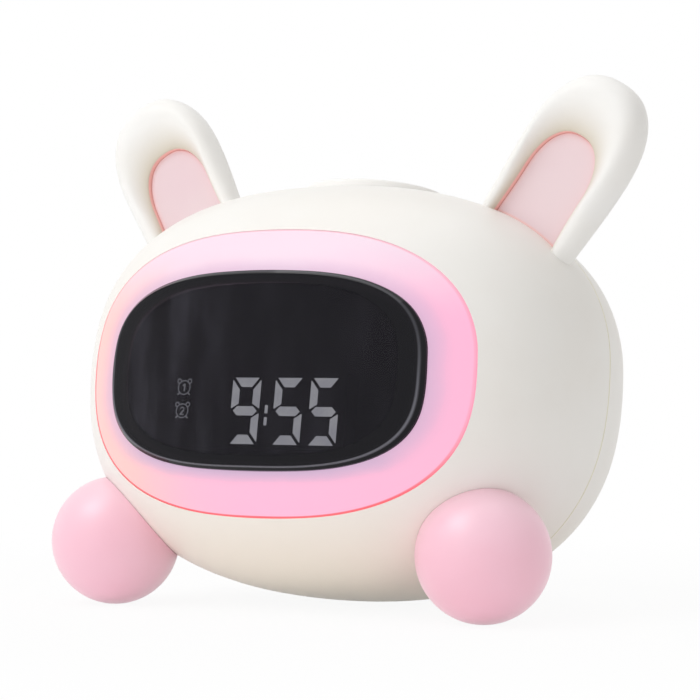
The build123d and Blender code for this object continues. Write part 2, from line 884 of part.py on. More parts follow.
def outward(point):
    """The direction straight out of the body's surface, near a point of the front."""
    near = head.to_local_coords(point)
    fall = body_top if near.Z > 0 else body_bottom
    across = abs(near.X) ** (section_power - 1) / body_half_width**section_power
    up = abs(near.Z) ** (section_power - 1) / fall**section_power
    size = (across * abs(near.X) + up * abs(near.Z)) ** (1 / section_power)
    ratio = size ** (front_power - section_power)
    out = abs(near.Y) ** (front_power - 1) / front_depth**front_power
    direction = in_head(
        ratio * across * (1 if near.X > 0 else -1), -out, ratio * up * (1 if near.Z > 0 else -1)
    )
    return (direction - head.origin).normalized()


foot_plane = Plane(origin=ball_centre, z_dir=-outward(ball_centre))
with BuildPart() as right_ball_foot:
    with Locations(ball_centre):
        Sphere(ball_radius)
        Sphere(ball_radius - ball_wall, mode=Mode.SUBTRACT)
    with BuildSketch(foot_plane.offset(ball_wall / 2 - ball_radius)):
        Circle(ball_boss_radius)
    extrude(amount=2 * ball_radius - ball_wall)
    add(seat_form, mode=Mode.SUBTRACT)
    split(bisect_by=Plane.XY, keep=Keep.TOP)
    with BuildSketch(foot_plane.offset(foot_screw_seat)):
        Circle(case_screw_radius + thread_room)
    extrude(amount=-foot_screw_length - foot_bore_room, mode=Mode.SUBTRACT)
save(right_ball_foot.part, "right_ball_foot")
save(mirrored(right_ball_foot.part), "left_ball_foot")

right_foot_screw = screw(
    Plane(origin=foot_plane.origin + foot_plane.z_dir * foot_screw_seat,
          z_dir=foot_plane.z_dir),
    case_screw_radius, foot_screw_length, case_screw_head_radius, case_screw_head,
)
with BuildPart() as foot_screws:
    add(right_foot_screw)
    add(mirrored(right_foot_screw))
save(foot_screws.part, "foot_screws")

with BuildPart() as foot_pad:
    with BuildSketch(foot_plane):
        Circle(foot_pad_radius)
    extrude(amount=foot_screw_seat)
    add(body_core, mode=Mode.INTERSECT)
with BuildPart() as foot_bore:
    with BuildSketch(foot_plane):
        Circle(case_screw_radius + screw_room)
    extrude(amount=foot_screw_seat)

# ------------------------------------------------------------------ rubber feet
rubber_centre = (rubber_x, body_centre_y + rubber_y)
with BuildPart() as right_rear_foot:
    with BuildSketch():
        with Locations(rubber_centre):
            Circle(rubber_radius)
    extrude(amount=rubber_height)
    fillet(right_rear_foot.edges().sort_by(Axis.Z)[0], rubber_edge)
save(right_rear_foot.part, "right_rear_foot")
save(mirrored(right_rear_foot.part), "left_rear_foot")

rubber_places = [rubber_centre, (-rubber_x, body_centre_y + rubber_y)]
with BuildPart() as rubber_sockets:
    with BuildSketch():
        with Locations(*rubber_places):
            Circle(rubber_radius + fit + rubber_socket_wall)
    extrude(amount=rubber_height + rubber_socket_wall)
    add(body_core, mode=Mode.INTERSECT)
with BuildPart() as rubber_recesses:
    with BuildSketch():
        with Locations(*rubber_places):
            Circle(rubber_radius + fit)
    extrude(amount=rubber_height)

# ------------------------------------------------------------------ openings that both shells share
with BuildPart() as crown_opening:
    with BuildSketch(over_crown(-guide_lip)):
        Circle(guide_bore)
    extrude(amount=2 * guide_lip)
with BuildPart() as right_ear_slot:
    with BuildSketch(neck_plane.offset(-neck_thickness / 2 - fit)):
        with Locations((0, (neck_low + ear_widest) / 2)):
            Rectangle(2 * (neck_half_width + fit), ear_widest - neck_low)
    extrude(amount=neck_thickness + 2 * fit)

# ------------------------------------------------------------------ front shell
with BuildPart() as front_shell:
    add(body)
    add(body_inside, mode=Mode.SUBTRACT)
    split(bisect_by=facing(seam_gap / 2), keep=Keep.TOP)
    add(slab(ring_oval(), seam_gap, front_reach), mode=Mode.SUBTRACT)
    with BuildPart(mode=Mode.PRIVATE) as front_posts:
        add(rods(case_screw_places, post_radius, frame_depth, front_depth))
        add(body_core, mode=Mode.INTERSECT)
        add(slab(ring_oval(ring_flange + slide), light_board_depth, front_reach),
            mode=Mode.SUBTRACT)
    add(front_posts.part)
    add(foot_pad.part)
    add(mirrored(foot_pad.part))
    add(rods(case_screw_places, case_screw_radius + thread_room, frame_depth,
             frame_depth + case_screw_bite + fit), mode=Mode.SUBTRACT)
    add(foot_bore.part, mode=Mode.SUBTRACT)
    add(mirrored(foot_bore.part), mode=Mode.SUBTRACT)
    add(crown_opening.part, mode=Mode.SUBTRACT)
    add(right_ear_slot.part, mode=Mode.SUBTRACT)
    add(mirrored(right_ear_slot.part), mode=Mode.SUBTRACT)
save(front_shell.part, "front_shell")

# ------------------------------------------------------------------ rear shell
panel_outside = -back_flat
panel_inside = wall - back_flat
key_names = ["key_set", "key_minus", "key_plus", "key_alarm", "key_light"]
key_places = [((count - 2) * key_pitch, key_z) for count in range(len(key_names))]
key_posts = [(-key_post_x, key_z), (key_post_x, key_z)]
key_flange_depth = panel_inside + fit + key_flange_thickness
stem_end = key_flange_depth + key_stem
key_switch_top = stem_end + key_travel + fit
key_board_back = key_switch_top + key_switch_height
key_board_front = key_board_back + board_thick
usb_board_top = usb_z - usb_height / 2
usb_board_low = usb_board_top - board_thin
usb_board_back = panel_inside + fit
usb_board_front = usb_board_back + usb_board_length
usb_screw_places = [
    (usb_x + side * (usb_board_width / 2 - standoff_inset / 2),
     usb_board_front - standoff_inset / 2)
    for side in (-1, 1)
]
grille_places = [(0, speaker_z)]
for ring in range(1, grille_rings + 1):
    for count in range(6 * ring):
        angle = 2 * pi * count / (6 * ring)
        grille_places.append((ring * grille_pitch * cos(angle),
                              speaker_z + ring * grille_pitch * sin(angle)))


def usb_screw_plane(x, depth):
    """The seat of a screw that stands on the socket's board."""
    return Plane(origin=in_head(x, -depth, usb_board_top), x_dir=(1, 0, 0), z_dir=head.z_dir)


with BuildPart() as rear_shell:
    add(body)
    add(body_inside, mode=Mode.SUBTRACT)
    split(bisect_by=facing(-seam_gap / 2), keep=Keep.BOTTOM)
    with BuildPart(mode=Mode.PRIVATE) as lip:
        add(slab(oval(body_half_width, body_top, body_bottom, section_power), -lip_reach,
                 lip_reach))
        add(under_wall, mode=Mode.INTERSECT)
        with BuildPart(mode=Mode.PRIVATE) as lip_root:
            add(slab(oval(body_half_width, body_top, body_bottom, section_power), -lip_reach,
                     -seam_gap / 2))
            add(body_core, mode=Mode.INTERSECT)
        add(lip_root.part)
        add(under_ring, mode=Mode.SUBTRACT)
        with BuildSketch(over_crown(-guide_depth)):
            Circle(guide_radius + fit)
        extrude(amount=guide_depth - wall, mode=Mode.SUBTRACT)
    add(lip.part)
    with BuildPart(mode=Mode.PRIVATE) as rear_posts:
        add(rods(case_screw_places, post_radius, -rear_depth, frame_back))
        add(rods(key_posts, small_boss_radius, -rear_depth, key_board_back))
        add(block(usb_x, usb_board_low - shelf_thickness / 2, usb_board_width + 2 * wall,
                  shelf_thickness, -rear_depth, usb_board_front))
        add(body_core, mode=Mode.INTERSECT)
    add(rear_posts.part)
    with BuildSketch(facing(panel_inside, 0, speaker_z)):
        Circle(speaker_radius + fit + rib_wall)
        Circle(speaker_radius + fit, mode=Mode.SUBTRACT)
    extrude(amount=rib_height)
    add(rubber_sockets.part)
    add(rubber_recesses.part, mode=Mode.SUBTRACT)
    add(rods(case_screw_places, case_screw_radius + screw_room, -rear_depth, frame_back),
        mode=Mode.SUBTRACT)
    add(rods(case_screw_places, case_screw_head_radius + screw_room, -rear_depth,
             -case_screw_seat), mode=Mode.SUBTRACT)
    add(rods(key_places, key_radius + slide, panel_outside, panel_inside),
        mode=Mode.SUBTRACT)
    add(rods(key_posts, small_screw_radius + thread_room, panel_inside, key_board_back),
        mode=Mode.SUBTRACT)
    add(rods(grille_places, grille_hole_radius, panel_outside, panel_inside),
        mode=Mode.SUBTRACT)
    with BuildSketch(facing(panel_outside, usb_x, usb_z)):
        SlotOverall(usb_width + 2 * slide, usb_height + 2 * slide)
    extrude(amount=wall, mode=Mode.SUBTRACT)
    for x, depth in usb_screw_places:
        with BuildSketch(usb_screw_plane(x, depth)):
            Circle(small_screw_radius + thread_room)
        extrude(amount=-small_screw_length - fit, mode=Mode.SUBTRACT)
    add(crown_opening.part, mode=Mode.SUBTRACT)
    add(right_ear_slot.part, mode=Mode.SUBTRACT)
    add(mirrored(right_ear_slot.part), mode=Mode.SUBTRACT)
save(rear_shell.part, "rear_shell")

# ------------------------------------------------------------------ keys on the back


def key_mark(name):
    """The plain sign on a key, drawn flat."""
    with BuildSketch() as sign:
        if name == "key_set":
            Circle(mark_size / 2)
            Circle(mark_size / 2 - mark_line, mode=Mode.SUBTRACT)
        elif name == "key_alarm":
            Triangle(a=mark_size, b=mark_size, c=mark_size, rotation=180)
        elif name == "key_light":
            Circle(mark_size / 4)
            with PolarLocations(mark_size / 2, 6):
                Rectangle(mark_line, mark_line / 2)
        else:
            Rectangle(mark_size, mark_line)
            if name == "key_plus":
                Rectangle(mark_line, mark_size)
    return sign.sketch


for name, (x, z) in zip(key_names, key_places):
    key_face = Plane(origin=in_head(x, back_flat + key_proud, z), x_dir=(-1, 0, 0),
                     z_dir=head.y_dir)
    key_height = key_proud + back_flat + key_flange_depth
    with BuildPart() as key:
        with BuildSketch(key_face):
            Circle(key_radius)
        extrude(amount=-key_height)
        fillet(key.edges().sort_by(Axis(key_face.origin, key_face.z_dir))[-1], key_edge)
        with BuildSketch(key_face.offset(-key_height)):
            Circle(key_radius + key_flange)
        extrude(amount=key_flange_thickness)
        with BuildSketch(key_face.offset(-key_height)):
            Circle(key_stem_radius)
        extrude(amount=-key_stem)
        with BuildSketch(key_face):
            add(key_mark(name))
        extrude(amount=-mark_deep, mode=Mode.SUBTRACT)
    save(key.part, name)

with BuildPart() as key_board:
    add(block(0, key_z, key_board_width, key_board_height, key_board_back, key_board_front))
    add(rods(key_posts, small_screw_radius + screw_room, key_board_back, key_board_front),
        mode=Mode.SUBTRACT)
save(key_board.part, "key_board")

with BuildPart() as key_switches:
    for x, z in key_places:
        add(block(x, z, switch_width, switch_width, key_switch_top, key_board_back))
save(key_switches.part, "key_switches")

# ------------------------------------------------------------------ speaker
speaker_plane = Plane(origin=in_head(0, 0, speaker_z), x_dir=(1, 0, 0), z_dir=head.z_dir)
speaker_axis = Axis(speaker_plane.origin, speaker_plane.y_dir)
gasket_back = back_flat - wall
flange_back = gasket_back - gasket_thickness
flange_front = flange_back - speaker_flange
basket_front = flange_front - speaker_basket
magnet_front = basket_front - magnet_height
opening_radius = speaker_radius - speaker_rim
basket_inside = basket_front + basket_step


def turned(*profile):
    """A closed profile of (radius, distance behind the seam) turned about the speaker."""
    with BuildPart() as piece:
        with BuildSketch(speaker_plane):
            with BuildLine():
                Polyline(*profile, close=True)
            make_face()
        revolve(axis=speaker_axis)
    return piece.part


save(turned((opening_radius, flange_back), (speaker_radius, flange_back),
            (speaker_radius, gasket_back), (opening_radius, gasket_back)), "speaker_gasket")
save(turned((opening_radius, flange_back), (speaker_radius, flange_back),
            (speaker_radius, flange_front), (opening_radius + basket_step, flange_front),
            (magnet_radius + basket_step, basket_front), (0, basket_front),
            (0, basket_inside), (magnet_radius, basket_inside),
            (opening_radius, flange_front)), "speaker_frame")
save(turned((0, magnet_front), (magnet_radius, magnet_front), (magnet_radius, basket_front),
            (0, basket_front)), "speaker_magnet")
cone_back = flange_back - speaker_flange / 2
coil_inside = magnet_radius / 2
coil_outside = coil_inside + basket_step
cone_front = basket_inside + cone_rise
cone_edge = opening_radius - basket_step
save(turned((opening_radius, cone_back), (opening_radius, cone_back - cone_thickness),
            (cone_edge, cone_back - cone_thickness),
            (coil_outside, cone_front), (coil_outside, basket_inside),
            (coil_inside, basket_inside), (coil_inside, cone_front),
            (0, cone_front + basket_step), (0, cone_front + basket_step + cone_thickness),
            (coil_outside, cone_front + cone_thickness),
            (cone_edge, cone_back)), "speaker_cone")

# ------------------------------------------------------------------ USB socket
usb_mouth = -(back_flat - usb_recess)
with BuildPart() as usb_socket:
    with BuildSketch(facing(usb_mouth, usb_x, usb_z)):
        SlotOverall(usb_width, usb_height)
    extrude(amount=usb_length)
    with BuildSketch(facing(usb_mouth, usb_x, usb_z)):
        SlotOverall(usb_width - 2 * usb_shell, usb_height - 2 * usb_shell)
    extrude(amount=usb_length - usb_floor, mode=Mode.SUBTRACT)
    with BuildSketch(facing(usb_mouth + usb_floor, usb_x, usb_z)):
        Rectangle(usb_width - usb_height, usb_tongue)
    extrude(amount=usb_length - 3 * usb_floor / 2)
save(usb_socket.part, "usb_socket")

with BuildPart() as usb_board:
    add(block(usb_x, usb_board_top - board_thin / 2, usb_board_width, board_thin,
              usb_board_back, usb_board_front))
    for x, depth in usb_screw_places:
        with BuildSketch(usb_screw_plane(x, depth)):
            Circle(small_screw_radius + screw_room)
        extrude(amount=-board_thin, mode=Mode.SUBTRACT)
save(usb_board.part, "usb_board")

# ------------------------------------------------------------------ screws


def from_back(depth, x, z):
    """A plane that looks out of the back."""
    return Plane(origin=in_head(x, -depth, z), x_dir=(1, 0, 0), z_dir=head.y_dir)


with BuildPart() as case_screws:
    for x, z in case_screw_places:
        add(screw(from_back(-case_screw_seat, x, z), case_screw_radius,
                  case_screw_seat + frame_depth + case_screw_bite, case_screw_head_radius,
                  case_screw_head))
save(case_screws.part, "case_screws")

with BuildPart() as carrier_screws:
    for x, z in carrier_places:
        add(screw(from_back(frame_back, x, z), case_screw_radius,
                  frame_thickness + carrier_screw_bite, case_screw_head_radius,
                  case_screw_head))
save(carrier_screws.part, "carrier_screws")

with BuildPart() as board_screws:
    for x, z in standoff_places:
        add(small_screw(from_back(main_board_back, x, z)))
    for x, z in light_screw_places:
        add(small_screw(facing(light_board_depth + board_thin, x, z)))
    for x, z in key_posts:
        add(small_screw(facing(key_board_front, x, z)))
    for x, depth in usb_screw_places:
        add(small_screw(usb_screw_plane(x, depth)))
    for side in (-1, 1):
        board_top = over_crown(-guide_depth + guide_floor + board_thin)
        add(small_screw(Plane(origin=board_top.from_local_coords((side * button_screw_x, 0, 0)),
                              x_dir=(1, 0, 0), z_dir=head.z_dir)))
save(board_screws.part, "board_screws")
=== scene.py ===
from math import atan2, copysign, cos, pi, radians, sin

import bmesh
import bpy
from bpy.props import FloatProperty, FloatVectorProperty, IntProperty, PointerProperty
from mathutils import Matrix, Vector


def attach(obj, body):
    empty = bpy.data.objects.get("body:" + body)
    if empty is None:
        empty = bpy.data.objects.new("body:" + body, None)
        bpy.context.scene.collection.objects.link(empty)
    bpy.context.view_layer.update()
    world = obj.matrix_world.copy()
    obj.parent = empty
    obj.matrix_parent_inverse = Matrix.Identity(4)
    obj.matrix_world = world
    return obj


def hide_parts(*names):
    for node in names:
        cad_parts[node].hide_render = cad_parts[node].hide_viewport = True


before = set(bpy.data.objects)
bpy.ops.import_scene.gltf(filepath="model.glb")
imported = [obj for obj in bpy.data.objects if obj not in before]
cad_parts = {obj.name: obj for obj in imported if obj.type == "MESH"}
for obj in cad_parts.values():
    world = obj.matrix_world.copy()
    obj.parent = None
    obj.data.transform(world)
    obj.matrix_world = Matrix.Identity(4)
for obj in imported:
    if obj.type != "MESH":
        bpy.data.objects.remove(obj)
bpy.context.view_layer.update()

bl_info = {
    "name": "Rabbit alarm clock",
    "version": (1, 0, 0),
    "blender": (4, 5, 0),
    "location": "3D View > Sidebar > Clock",
    "description": "Finishes a child's alarm clock with a night light ring and two ears",
    "category": "Object",
}

MM = 0.001                # the sizes of the clock are written in millimetres


def tone(red, green, blue):
    """A colour given from 0 to 255 as it is seen, turned into the light that a shader wants."""
    def linear(part):
        part /= 255
        return part / 12.92 if part <= 0.04045 else ((part + 0.055) / 1.055) ** 2.4
    return linear(red), linear(green), linear(blue)


# ------ what a user may change; the panel's labels are the settings' own names


def real(description, default, **more):
    return FloatProperty(description=description, default=default, **more)


def offset(description, default, **more):
    return real(description, default * MM, unit="LENGTH", precision=5, **more)


def length(description, default):
    return offset(description, default, min=0.0)


def turn_by(description, default):
    return real(description, radians(default), subtype="ANGLE")


def share(description, default):
    return real(description, default, min=0.0, max=1.0, subtype="FACTOR")


def number(description, default):
    return real(description, default, min=0.0)


def power(description, default):
    return real(description, default, min=0.0, unit="POWER")


def colour(description, default):
    return FloatVectorProperty(description=description, default=tone(*default),
                               subtype="COLOR", min=0.0, max=1.0)


class ClockBody(bpy.types.PropertyGroup):
    """The egg that the ears stand on and what is let into it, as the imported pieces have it."""

    lean: turn_by("How far the body leans back", 9.7)
    centre_back: offset("The body's centre behind the middle of the clock", 6.3)
    centre_height: length("The body's centre above the floor", 67.5)
    half_width: length("Centre of the body to its side", 84.8)
    rise: length("Centre of the body to its crown", 61.0)
    drop: length("Centre of the body to its underside", 67.2)
    front: length("Seam to the foremost point", 67.6)
    rear: length("Seam to the rearmost point of the full form", 62.0)
    squareness: number("Power of the outline seen from the front", 2.4)
    front_squareness: number("Power of the front half seen from above", 2.76)
    rear_squareness: number("Power of the rear half seen from above", 2.0)
    button_radius: length("Radius of the button in the crown", 22.4)
    button_forward: length("The button's middle in front of the seam", 2.5)
    ring_centre: offset("The light ring's middle over the body's", -3.4)
    ring_half_width: length("Middle of the light ring to its side", 66.8)
    ring_rise: length("Middle of the light ring to its top", 41.9)
    ring_drop: length("Middle of the light ring to its bottom", 44.5)
    ring_squareness: number("Power of the light ring's outline", 2.5)
    lens_centre: offset("The lens's middle over the body's", -4.7)
    lens_half_width: length("Middle of the lens to its side", 54.5)
    lens_half_height: length("Middle of the lens to its top", 29.8)
    lens_squareness: number("Power of the lens's outline", 2.9)
    key_sign: length("Seam to just above the floor of the keys' signs", 54.02)
    key_side: length("Seam to below that floor, where a key is all side", 53.6)


class ClockEars(bpy.types.PropertyGroup):
    """The two ears; heights go along the ear, from the body's centre."""

    lean: turn_by("How far an ear leans out", 31.5)
    offset: length("Body's centre to the ear's own middle line", 26.2)
    forward: length("Ear's middle plane in front of the seam", 9.9)
    half_width: length("Middle line to the ear's edge, at its widest", 18.8)
    foot_half_width: length("The same, where the ear meets the body", 16.8)
    foot: length("Height at which the foot's half width holds", 58.0)
    widest: length("Height of the ear's widest line", 96.0)
    tip: length("Widest line to the ear's tip", 28.0)
    thickness: length("Back of the ear to the crest of its rim", 16.4)
    neck_half_width: length("Half the width of the neck in its slot", 8.05)
    neck_thickness: length("Thickness of the neck in its slot", 4.95)
    taper: length("How much thinner the ear gets from tip to foot", 4.2)
    round_back: length("Radius of the rear edge", 8.0)
    rim_roundness: number("Depth of the rim's outer round to its width", 1.5)
    rim_most: length("Greatest depth of the rim's outer round", 8.0)
    crest: share("Where the rim's crest runs, between its edge and the panel", 0.58)
    crest_most: length("Furthest that the crest lies from the edge", 7.0)
    droop: length("How much lower the crest runs at the ear's foot", 3.0)
    dish: length("Crest of the rim to the lip over the panel", 4.6)
    crest_roundness: number("Power of the curves beside the crest", 2.2)
    funnel: share("How far the dish at the tip runs straight down to the lip", 0.75)
    step: length("Lip to the panel", 1.5)
    tip_squareness: number("Power of the outline round the tip", 2.35)
    sunk: length("How far the foot goes into the body's skin", 0.3)
    panel_shift: offset("Panel's middle line beside the ear's", -0.9)
    panel_half_width: length("Panel's middle line to its edge", 11.6)
    panel_foot_half_width: length("The same at the body", 12.8)
    panel_widest: length("Height of the panel's widest line", 86.5)
    panel_tip: length("Widest line to the panel's tip", 17.6)
    panel_thickness: length("Thickness of the inlaid panel", 1.4)
    segments: IntProperty(description="Vertices in each ring of an ear", default=160,
                          min=32, max=400)


class ClockIcons(bpy.types.PropertyGroup):
    """The two alarm icons."""

    across: offset("Icons' middle beside the body's", -27.8)
    upper: offset("Middle of the upper icon over the body's centre", -9.6)
    pitch: length("From one icon down to the next", 7.1)
    depth: length("Body's middle plane to the back of the icons", 60.0)
    thickness: length("Thickness of the drawn lines", 0.4)
    line: length("Width of the drawn lines", 0.32)
    radius: length("Radius of the clock's ring", 2.1)
    bell: length("Radius of a bell's arc", 0.62)
    bell_reach: length("Middle of the clock to that of a bell", 2.7)
    foot_reach: length("Middle of the clock to the end of a foot", 3.05)
    spread: turn_by("Bells and feet from the upright", 44)
    number_height: length("Height of the 1 and the 2", 2.2)


class ClockColours(bpy.types.PropertyGroup):
    """Colours of the clock's finishes."""

    ivory: colour("Shells and button", (249, 247, 243))
    ear_ivory: colour("Rims of the ears", (251, 250, 248))
    # Painted shade down the dish of each ear, deepest at the lip
    ear_shade: colour("Foot of the dish, at the lip", (216, 206, 186))
    ivory_warm: colour("The warmer tone that the ivory drifts to", (247, 244, 239))
    ear_pink: colour("Panels inside the ears", (240, 218, 222))
    # Painted coral glow on the wall round the ear panels, and painted coral shade at the panels'
    # edges and feet
    blush: colour("The wall round the ear panels", (253, 196, 188))
    ball_pink: colour("Ball feet", (255, 200, 218))
    key_pink: colour("Keys on the back", (244, 196, 208))
    glow_side: colour("Ring on the side of the last figure", (255, 186, 216))
    glow_far: colour("Ring on the side of the icons", (255, 200, 196))
    glow_top: colour("Top of the ring", (240, 217, 231))
    glow_low: colour("Bottom of the ring", (252, 188, 216))
    glow_near: colour("The dimmer band along the lens", (208, 180, 208))
    glow_edge: colour("The fine line where the ring meets the shell", (252, 118, 128))
    lens: colour("Smoked lens", (20, 18, 26))
    figures: colour("Lit bars of the digits", (247, 247, 255))
    icons: colour("Printed icons", (205, 205, 214))
    black: colour("Display, carrier and speaker", (24, 23, 28))
    board: colour("Circuit boards", (18, 92, 62))
    rubber: colour("Feet under the back", (150, 148, 146))


class ClockStage(bpy.types.PropertyGroup):
    """Camera, lamps and floor."""

    focal: real("Camera's focal length in millimetres", 137.0, min=10.0, unit="CAMERA")
    distance: length("Camera to the body's centre, over the floor", 843.25)
    azimuth: turn_by("Turn of the camera round the clock", 30.0)
    aside: offset("Camera's shift to its left of the body's centre", 4.5)
    height: length("Camera above the floor", 79.5)
    key: power("Power of the large lamp at the upper left", 8.3)
    low: power("Power of the soft lamp low in front", 6.4)
    fill: power("Power of the lamp at the right", 0.2)
    top: power("Power of the lamp overhead", 4.6)
    room: number("Strength of the even light from all round", 0.55)
    white: share("How far the floor gives way to plain white near the clock", 0.92)


SETTINGS = {
    "clock_body": ClockBody,
    "clock_ears": ClockEars,
    "clock_icons": ClockIcons,
    "clock_colours": ClockColours,
    "clock_stage": ClockStage,
}


class Drawing:
    """A group of settings, with its lengths in millimetres."""

    def __init__(self, settings):
        for name in type(settings).__annotations__:
            value = getattr(settings, name)
            is_length = settings.bl_rna.properties[name].unit == "LENGTH"
            setattr(self, name, value / MM if is_length else value)


def oval(x, z, half_width, half_height, squareness):
    """Below 1 inside a squared oval, 1 on its outline and above 1 outside."""
    return ((abs(x) / half_width) ** squareness
            + (abs(z) / half_height) ** squareness) ** (1 / squareness)


# ------ materials


def maths(operation, swapped=False):
    """A method of Wire that adds one Math node."""
    def method(self, *others):
        terms = (*others, self) if swapped else (self, *others)
        return self.sheet.node("ShaderNodeMath", dict(enumerate(terms)), operation=operation)
    return method


class Wire:
    """A socket of a material, which can stand in a sum, so that masks read as they are meant."""

    def __init__(self, sheet, socket):
        self.sheet = sheet
        self.socket = socket

    __add__, __radd__ = maths("ADD"), maths("ADD", swapped=True)
    __sub__, __rsub__ = maths("SUBTRACT"), maths("SUBTRACT", swapped=True)
    __mul__, __rmul__ = maths("MULTIPLY"), maths("MULTIPLY", swapped=True)
    __truediv__, __rtruediv__ = maths("DIVIDE"), maths("DIVIDE", swapped=True)
    __pow__, __gt__, __lt__ = maths("POWER"), maths("GREATER_THAN"), maths("LESS_THAN")
    __abs__, wave, larger = maths("ABSOLUTE"), maths("SINE"), maths("MAXIMUM")

    def between(self, low, high):
        """0 below low, 1 above high, and a smooth rise in between."""
        return self.sheet.node(
            "ShaderNodeMapRange",
            {"Value": self, "From Min": low, "From Max": high},
            interpolation_type="SMOOTHSTEP",
        )


class Sheet:
    """The nodes of a material or of the room, drawn anew."""

    def __init__(self, tree, output):
        self.tree = tree
        self.tree.nodes.clear()
        self.output = self.tree.nodes.new(output)

    def feed(self, socket, value):
        if isinstance(value, Wire):
            self.tree.links.new(value.socket, socket)
        elif hasattr(value, "__len__") and len(value) == 3 and len(socket.default_value) == 4:
            socket.default_value = (*value, 1.0)
        else:
            socket.default_value = value

    def node(self, kind, values, out=0, **settings):
        """Any node: its settings first, then what its sockets are given."""
        made = self.tree.nodes.new(kind)
        for key, value in settings.items():
            setattr(made, key, value)
        for key, value in values.items():
            self.feed(made.inputs[key], value)
        return Wire(self, made.outputs[out])

    def show(self, surface):
        self.feed(self.output.inputs["Surface"], surface)

    def seen(self):
        """1 for a ray that shows the surface: straight, in gloss or through glass. Else 0."""
        straight, gloss, glass = (
            self.node("ShaderNodeLightPath", {}, out=f"Is {ray} Ray")
            for ray in ("Camera", "Glossy", "Transmission"))
        return straight.larger(gloss).larger(glass)


class Finish(Sheet):
    """One material round a Principled shader."""

    def __init__(self, name, **constants):
        self.material = bpy.data.materials.new(name)
        self.material.use_nodes = True
        super().__init__(self.material.node_tree, "ShaderNodeOutputMaterial")
        self.shader = self.tree.nodes.new("ShaderNodeBsdfPrincipled")
        self.show(self.shaded())
        self.set(**constants)

    def shaded(self):
        return Wire(self, self.shader.outputs[0])

    def set(self, **values):
        """Gives the shader's own sockets a number, a colour or a link."""
        for key, value in values.items():
            self.feed(self.shader.inputs[key.replace("_", " ")], value)

    def coloured(self):
        """What feeds the shader's colour so far."""
        return Wire(self, self.shader.inputs["Base Color"].links[0].from_socket)

    def place(self):
        """Where a point of the surface lies, in metres, in the clock's frame."""
        return self.node("ShaderNodeTexCoord", {}, out="Object")

    def blush(self):
        """The painted shade and glow that the rings of a drawn skin carry."""
        return self.node("ShaderNodeAttribute", {}, out="Fac", attribute_name="blush")

    def in_body(self, body):
        """The same in millimetres, in the leaning body's own frame: x, y, z."""
        local = self.node(
            "ShaderNodeMapping",
            {"Vector": self.place(),
             "Location": (0, body.centre_back * MM, body.centre_height * MM),
             "Rotation": (-body.lean, 0, 0), "Scale": (MM, MM, MM)},
            vector_type="TEXTURE",
        )
        return self.parts(local)

    def parts(self, vector):
        split = self.node("ShaderNodeSeparateXYZ", {"Vector": vector})
        return tuple(Wire(self, out) for out in split.socket.node.outputs)

    def stretched(self, x, y, z):
        """The place, with the pattern on it drawn out or pressed along each axis."""
        return self.node("ShaderNodeMapping", {"Vector": self.place(), "Scale": (x, y, z)})

    def noise(self, size, detail=2.0, rough=0.5, where=None):
        """Soft blotches about as large as size, in millimetres."""
        return self.node("ShaderNodeTexNoise", {
            "Vector": where or self.place(), "Scale": 1 / (size * MM), "Detail": detail,
            "Roughness": rough,
        }, out="Fac")

    def cells(self, size, feature="F1"):
        """Distance to the nearest of many scattered grains, or to the edge between two."""
        return self.node("ShaderNodeTexVoronoi", {
            "Vector": self.place(), "Scale": 1 / (size * MM),
        }, out="Distance", feature=feature)

    def mix(self, factor, first, second):
        """One colour turned into another by a factor."""
        return self.node("ShaderNodeMix", {0: factor, 6: first, 7: second}, out=2,
                         data_type="RGBA")

    def tint(self, factor, shade):
        """Turns the shader's colour into another by a factor."""
        self.set(Base_Color=self.mix(factor, self.coloured(), shade))

    def follow(self, pattern, first, second, rough, rise, **values):
        """A colour and a roughness that follow one pattern."""
        self.set(Base_Color=self.mix(pattern, first, second), Roughness=rough + rise * pattern,
                 **values)
        return self.material

    def bump(self, height, depth, strength):
        """A relief as deep as depth, in millimetres."""
        return self.node("ShaderNodeBump", {"Height": height, "Distance": depth * MM,
                                            "Strength": strength})


def moulded(name, main, drift, rough, grain=0.35, relief=0.012, **constants):
    """Moulded plastic: a fine eroded grain, and a tone and gloss that drift a little."""
    finish = Finish(name, **constants)
    broad = finish.noise(38, 3)
    middle = finish.noise(6, 2)
    fine = finish.noise(grain, 3, 0.6)
    finish.set(
        Base_Color=finish.mix(broad.between(0.35, 0.7), main, drift),
        Roughness=rough - 0.03 + 0.06 * middle + 0.05 * (fine - 0.5),
        Normal=finish.bump(fine + 0.6 * finish.cells(grain * 1.6), relief, 0.6),
    )
    return finish


def shell_ivory(body, colours):
    """Satin ivory of the shells and the button, with a painted warm shade on the underside and a
    painted highlight on the seam, which is left out on the button.
    """
    finish = moulded("shell_ivory", colours.ivory, colours.ivory_warm, 0.42,
                     Specular_IOR_Level=0.42)
    x, y, z = finish.in_body(body)
    # Painted warm shade on the underside
    finish.tint((-1 * z).between(30, 66), tone(252, 244, 230))
    along = y + body.button_forward
    reach = body.button_radius ** 2
    button = (1 - (x * x + along * along).between(reach, 1.02 * reach)) * z.between(30, 40)
    # Painted highlight along the seam, where the shell's edge catches light
    seam = (1 - abs(y).between(0.3, 0.7)) * (1 - button)
    finish.tint(0.8 * seam, tone(253, 248, 228))
    finish.tint(0.9 * button, tone(255, 254, 252))
    return finish.material


def ear_ivory(colours):
    """Ivory with a painted shade down the dish (painted shade and glow 0 to 0.5) and a painted
    coral glow in the narrow wall round the panel (0.5 to 1)."""
    finish = moulded("ear_ivory", colours.ear_ivory, colours.ivory, 0.42,
                     Specular_IOR_Level=0.42)
    blush = finish.blush()
    # Painted shade down the dish, then a painted coral glow on the wall round the panel
    finish.tint(0.9 * blush.between(0.0, 0.5), colours.ear_shade)
    finish.tint(blush.between(0.5, 1.0), colours.blush)
    return finish.material


